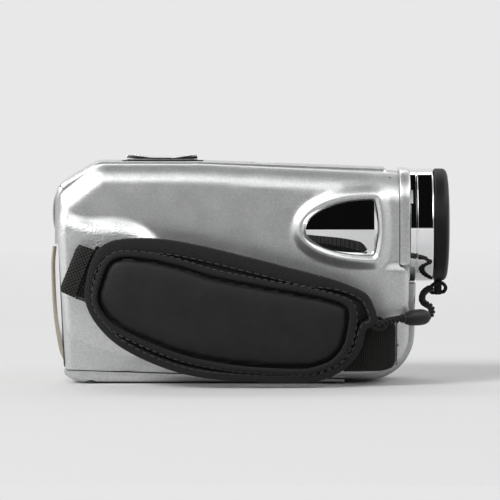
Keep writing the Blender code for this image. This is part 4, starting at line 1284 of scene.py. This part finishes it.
def record_button():
    low, high = own("record_button")
    centre = (0, middle("record_button").y, middle("record_button").z)
    radius = (high.z - low.z) / 2
    knob = lathe("record_button_turned", [
        (0, -low.x), (radius * 0.35, -low.x - 0.06), (radius * 0.7, -low.x - 0.35),
        (radius * 0.9, -low.x - 0.75), (radius - 0.12, -low.x - 1.05), (radius, -low.x - 1.3),
        (radius, -high.x), (0, -high.x)], centre, (-1, 0, 0), 72)
    show(knob, GLOSS_BLACK, "record_button", "gloss_black", "record_button")


# --------------------------------------------------------------------- strap

def pad_mid(x):
    share = (x - PAD_MID_X) / PAD_HALF
    return PAD_ENDS_Y - PAD_BOW * (1 - share * share)


def on_pad(x, z, h):
    """A point h millimetres outside the middle of the grip's bowed sheet."""
    return (x, pad_mid(x) - h, z)


GRIP = spline([(-46.4, 25.0), (-45.7, 32.0), (-43.4, 38.0), (-39.5, 41.0), (-33.0, 42.0),
               (-23.9, 41.7), (-14.1, 40.0), (0, 36.6), (14.1, 32.9), (22.5, 30.6), (29.1, 28.2),
               (33.0, 26.0), (34.8, 22.8), (35.7, 20.0), (36.1, 18.2), (35.0, 17.0),
               (32.7, 16.6), (31.3, 11.4), (28.9, 7.6), (25.7, 4.8), (21.0, 2.6), (14.1, 1.6),
               (0, 2.0), (-14.1, 3.3), (-25.3, 6.3), (-36.6, 11.8), (-43.4, 18.3)], 8, closed=True)
LEATHER_EDGE = spline([(-42.9, 25.3), (-41.6, 31.2), (-39.9, 34.8), (-36.8, 36.9), (-29.3, 36.6),
                       (-20.1, 34.7), (-10.9, 31.9), (2.0, 29.2), (14.1, 27.0), (21.6, 25.3),
                       (26.3, 23.6), (27.9, 21.2), (27.2, 15.1), (25.9, 11.4), (23.2, 8.2),
                       (19.1, 6.4), (14.1, 5.6), (0.9, 6.2), (-8.4, 7.3), (-18.0, 9.3),
                       (-27.3, 12.6), (-36.4, 16.9), (-40.9, 20.8)], 8, closed=True)


def cushion(name, loop, back, front, edge, crown_reach):
    """A closed pad: flat back, rounded edge and a low crown, laid out flat."""
    loop = resampled(loop, 1.0, closed=True)
    normals = outward_normals(loop)
    thick = front - back
    spots = grid(-50, 40, 0, 45, 1.3)
    rings = [loop - normals * pull for pull in (0.25, 0.6, 1.1, 1.7, 2.4)]
    spots = np.vstack(rings + [spots[inside(spots, loop) & (distance(spots, loop, True) > 3.2)]])
    spots = spots[inside(spots, loop)]
    flat = [Vector(spot) for spot in np.vstack([loop, spots])]
    made = delaunay_2d_cdt(flat, [], [list(range(len(loop)))], 1, 0.0005)
    skin = np.array([tuple(spot) for spot in made[0]])
    away = distance(skin, loop, True)
    rise = 1 - np.clip(1 - away / crown_reach, 0, 1) ** 2
    lift = edge * np.sqrt(np.clip(1 - np.clip(1 - away / edge, 0, 1) ** 2, 0, 1))
    height = np.minimum(lift, edge) + (thick - edge) * rise
    top = [(u, v, back + h) for (u, v), h in zip(skin, height)]
    bottom = [(u, v, back) for u, v in skin]
    faces = [tuple(triangle) for triangle in made[2]]
    return gather([(top, faces), (bottom, [face[::-1] for face in faces])])


def inflate(name, verts, faces, back, front, pressure, voxel, limit):
    """Puff a pad with cloth pressure, six times full size, and lay it back in its space."""
    form = bmesh.new()
    mesh = bpy.data.meshes.new(name)
    mesh.from_pydata([Vector(vert) * MM * SIM_SCALE for vert in verts], [], faces)
    form.from_mesh(mesh)
    bmesh.ops.remove_doubles(form, verts=form.verts, dist=0.00002)
    bmesh.ops.recalc_face_normals(form, faces=form.faces)
    form.to_mesh(mesh)
    form.free()
    made = linked(name, mesh)
    remesh = made.modifiers.new("remesh", "REMESH")
    remesh.mode = "VOXEL"
    remesh.voxel_size = voxel
    graph = bpy.context.evaluated_depsgraph_get()
    made.data = bpy.data.meshes.new_from_object(made.evaluated_get(graph))
    made.modifiers.clear()
    count = len(made.data.vertices)
    before = np.zeros(count * 3)
    made.data.vertices.foreach_get("co", before)
    before = before.reshape(-1, 3)
    after = before.copy()
    settings = made.modifiers.new("cloth", "CLOTH").settings
    settings.use_pressure = True
    settings.uniform_pressure_force = pressure
    settings.effector_weights.gravity = 0
    settings.tension_stiffness = 12
    settings.bending_stiffness = 0.5
    scene = bpy.context.scene
    for step in range(1, SIM_STEPS + 1):
        scene.frame_set(step)
    graph = bpy.context.evaluated_depsgraph_get()
    simulated = made.evaluated_get(graph).to_mesh()
    simulated.vertices.foreach_get("co", (moved := np.zeros(count * 3)))
    shift = moved.reshape(-1, 3) - before
    size = np.linalg.norm(shift, axis=1)[:, None]
    after = before + shift * limit / (limit + size)
    made.modifiers.clear()
    scene.frame_set(1)
    spots = after / (MM * SIM_SCALE)
    spots[:, 2] = np.clip(spots[:, 2], back, front)
    placed = [ORIGIN + Vector(on_pad(u, v, h)) * MM for u, v, h in spots]
    made.data.vertices.foreach_set("co", np.array([tuple(spot) for spot in placed]).ravel())
    smoother = made.modifiers.new("even", "SMOOTH")
    smoother.factor = 0.5
    smoother.iterations = 4
    finer = made.modifiers.new("finer", "SUBSURF")
    finer.levels = 1
    finer.render_levels = 1
    return bake(made, 70)


def tape(name, inner, outer, base, height, back, sides=10, lean=0.5):
    """A rolled binding between two closed lines, as a hollow-backed bead of cloth."""
    rings = []
    for (ux, uz), (vx, vz) in zip(inner, outer):
        ring = []
        for step in range(sides + 1):
            share = step / sides
            angle = math.pi * share
            across = (1 - math.cos(angle)) / 2
            lift = math.sin(angle) ** 0.7 * (1 + 0.18 * math.sin(angle * 2) * lean)
            ring.append(on_pad(ux + (vx - ux) * across, uz + (vz - uz) * across,
                               base + height * lift))
        ring.append(on_pad(vx, vz, back))
        ring.append(on_pad(ux, uz, back))
        rings.append(ring)
    return loft(rings, closed_run=True)


def stitches(line, height, length, gap, radius):
    """Short raised threads along a closed line on the grip."""
    stops = resampled(line, length + gap, closed=True)
    nexts = np.roll(stops, -1, axis=0)
    groups = []
    for (x, z), (nx, nz) in zip(stops, nexts):
        share = length / max(math.hypot(nx - x, nz - z), 0.1)
        ends = [(x + (nx - x) * t * share, z + (nz - z) * t * share) for t in (0.1, 0.5, 0.9)]
        lifts = (-0.12, 0.06, -0.12)
        spots = [on_pad(u, v, height + lift) for (u, v), lift in zip(ends, lifts)]
        groups.append(tube_faces(spots, radius, 6))
    return gather(groups)


def pad():
    loop = resampled(GRIP, 1.0, closed=True)
    shy = loop - outward_normals(loop) * 0.5
    verts, faces = cushion("grip", shy, -2.0, 1.3, 1.4, 5.0)
    grip = inflate("strap_grip", verts, faces, -PAD_FRONT, PAD_FRONT + 0.1, 2.0, 0.0052, 0.004)
    show(grip, FABRIC, "root", "webbing", "strap_pad")

    normals = outward_normals(loop)
    upper = smooth((normals[:, 1] - 0.2) / 0.6) * smooth((28 - loop[:, 0]) / 14)
    broad = (2.3 + 1.9 * upper)[:, None]
    binding = tape("grip_binding", loop - normals * broad, loop + normals * 0.25, 1.5, 1.35, -1.6)
    edge = raw("strap_grip_binding", *binding, sharp=50)
    show(edge, FABRIC, "root", "webbing")

    panel = resampled(LEATHER_EDGE, 1.0, closed=True)
    normals = outward_normals(panel)
    ends = smooth((normals[:, 0] - 0.3) / 0.5)
    wide = (1.75 + 0.5 * ends)[:, None]
    inner = panel + normals * 0.12
    outer = panel + normals * wide
    flap = raw("strap_flap_binding", *tape("flap", inner, outer, 2.75, 1.25, FLAP_BACK), sharp=50)
    show(flap, FABRIC, "root", "webbing")

    shy = panel - normals * 0.1
    verts, faces = cushion("panel", shy, FLAP_BACK, 3.7, 0.6, 7.0)
    soft = inflate("strap_leather_panel", verts, faces, FLAP_BACK, 4.5, 1.0, 0.0048, 0.0024)
    show(soft, LEATHER, "root", "leather", "strap_flap")

    line = panel + normals * (wide + 0.12)
    seam = raw("strap_flap_stitches", *stitches(line, 3.2, 1.3, 0.8, 0.16), sharp=60)
    show(seam, THREAD, "root", "webbing")
    line = loop - outward_normals(loop) * (broad - 0.55)
    seam = raw("strap_grip_stitches", *stitches(line, 2.9, 1.5, 0.8, 0.14), sharp=60)
    show(seam, THREAD, "root", "webbing")


def webbing(name, route, low, high, pattern, turn=None):
    """A woven strap along a route in X and Y, its threads as real relief."""
    along = np.gradient(route, axis=0)
    along /= np.linalg.norm(along, axis=1)[:, None]
    normals = np.stack([along[:, 1], -along[:, 0]], axis=1)
    run = np.concatenate([[0], np.cumsum(np.linalg.norm(np.diff(route, axis=0), axis=1))])
    rows = 46
    rings = []
    for (x, y), (nx, ny), s in zip(route, normals, run):
        ring = []
        z0, z1 = low(s / run[-1]), high(s / run[-1])
        for side in (1, -1):
            order = range(rows + 1) if side > 0 else range(rows, -1, -1)
            for step in order:
                v = step / rows
                z = z0 + (z1 - z0) * v
                half = WEB_THICK / 2 * min(1.0, (0.25 + 8 * min(v, 1 - v)))
                out = side * (half + pattern(s, z))
                ring.append((x + nx * out, y + ny * out, z))
        rings.append(ring)
    if turn is not None:
        rings = [[tuple(turn @ Vector(spot)) for spot in ring] for ring in rings]
    return raw(name, *loft(rings), sharp=80)


def straps():
    def ribs(s, z):
        return 0.13 * math.sin(math.tau * s / 0.62) + 0.03 * math.sin(math.tau * z / 0.7)

    def basket(s, z):
        return 0.16 * math.sin(math.tau * s / 1.5) * math.sin(math.tau * z / 1.5)

    front_route = resampled(spline([
        (26.5, -29.85), (30.0, -29.35), (33.6, -28.7), (37.2, -27.0), (39.6, -24.6),
        (40.6, -21.6), (40.7, RIGHT_FACE + 2.2)], 8), 0.085)
    front = webbing("webbing_front_woven", front_route, lambda s: 4.3 + 1.5 * smooth(s * 1.8 - 0.8),
                    lambda s: 17.7, ribs)
    show(front, WEBBING, "root", "webbing", "webbing_front")
    rear_route = resampled(spline([(1.0, 1.6), (-0.4, -2.0), (-3.4, -5.2), (-5.6, -8.6),
                                   (-4.6, -11.6), (-1.4, -12.9)], 8), 0.12)
    turn = Matrix.Translation((-45.6, RIGHT_FACE + 0.4, 31.4)) @ Matrix.Rotation(STRAP_TILT, 4, "Y")
    rear = webbing("webbing_rear_woven", rear_route, lambda s: -7.1, lambda s: 7.1, basket, turn)
    show(rear, REAR_WEBBING, "root", "webbing", "webbing_rear")


# ---------------------------------------------------------- carried-over parts

def carried_over():
    """Better materials and softened edges for the CAD nodes that stay."""
    looks = {
        "silver": SILVER, "champagne": CHAMPAGNE, "chrome": CHROME, "black_plastic": BLACK,
        "gloss_black": GLOSS_BLACK, "glass": GLASS, "steel": STEEL, "brass": BRASS,
        "board": BOARD, "battery": SLEEVE, "rubber": RUBBER, "webbing": WEBBING,
        "leather": LEATHER, "cord": CORD_YARN,
    }
    slots = {entry["node"]: entry["material_slot"] for entry in frame["record"]["subparts"]}
    soften = {"screen_cover": 0.5, "screen_bezel": 0.25, "hinge_bracket": 0.35,
              "battery_door": 0.25, "door_latch": 0.15, "usb_cover": 0.2}
    for name, node in frame["nodes"].items():
        look = SATIN_CHROME if name == "snapshot_button" else looks.get(slots.get(name, ""), BLACK)
        node.data.materials.clear()
        node.data.materials.append(look)
        if name in soften and not node.hide_render:
            edge = node.modifiers.new("softened", "BEVEL")
            edge.width = soften[name] * MM
            edge.segments = 3
            edge.limit_method = "ANGLE"
            edge.angle_limit = math.radians(40)
            edge.harden_normals = True


photographer()
backdrop()
lamps()
surroundings()
tether()
shells()
band()
front_plate()
rear_panel()
base()
bezel()
hood()
cap()
leaf()
rocker()
record_button()
pad()
straps()
carried_over()
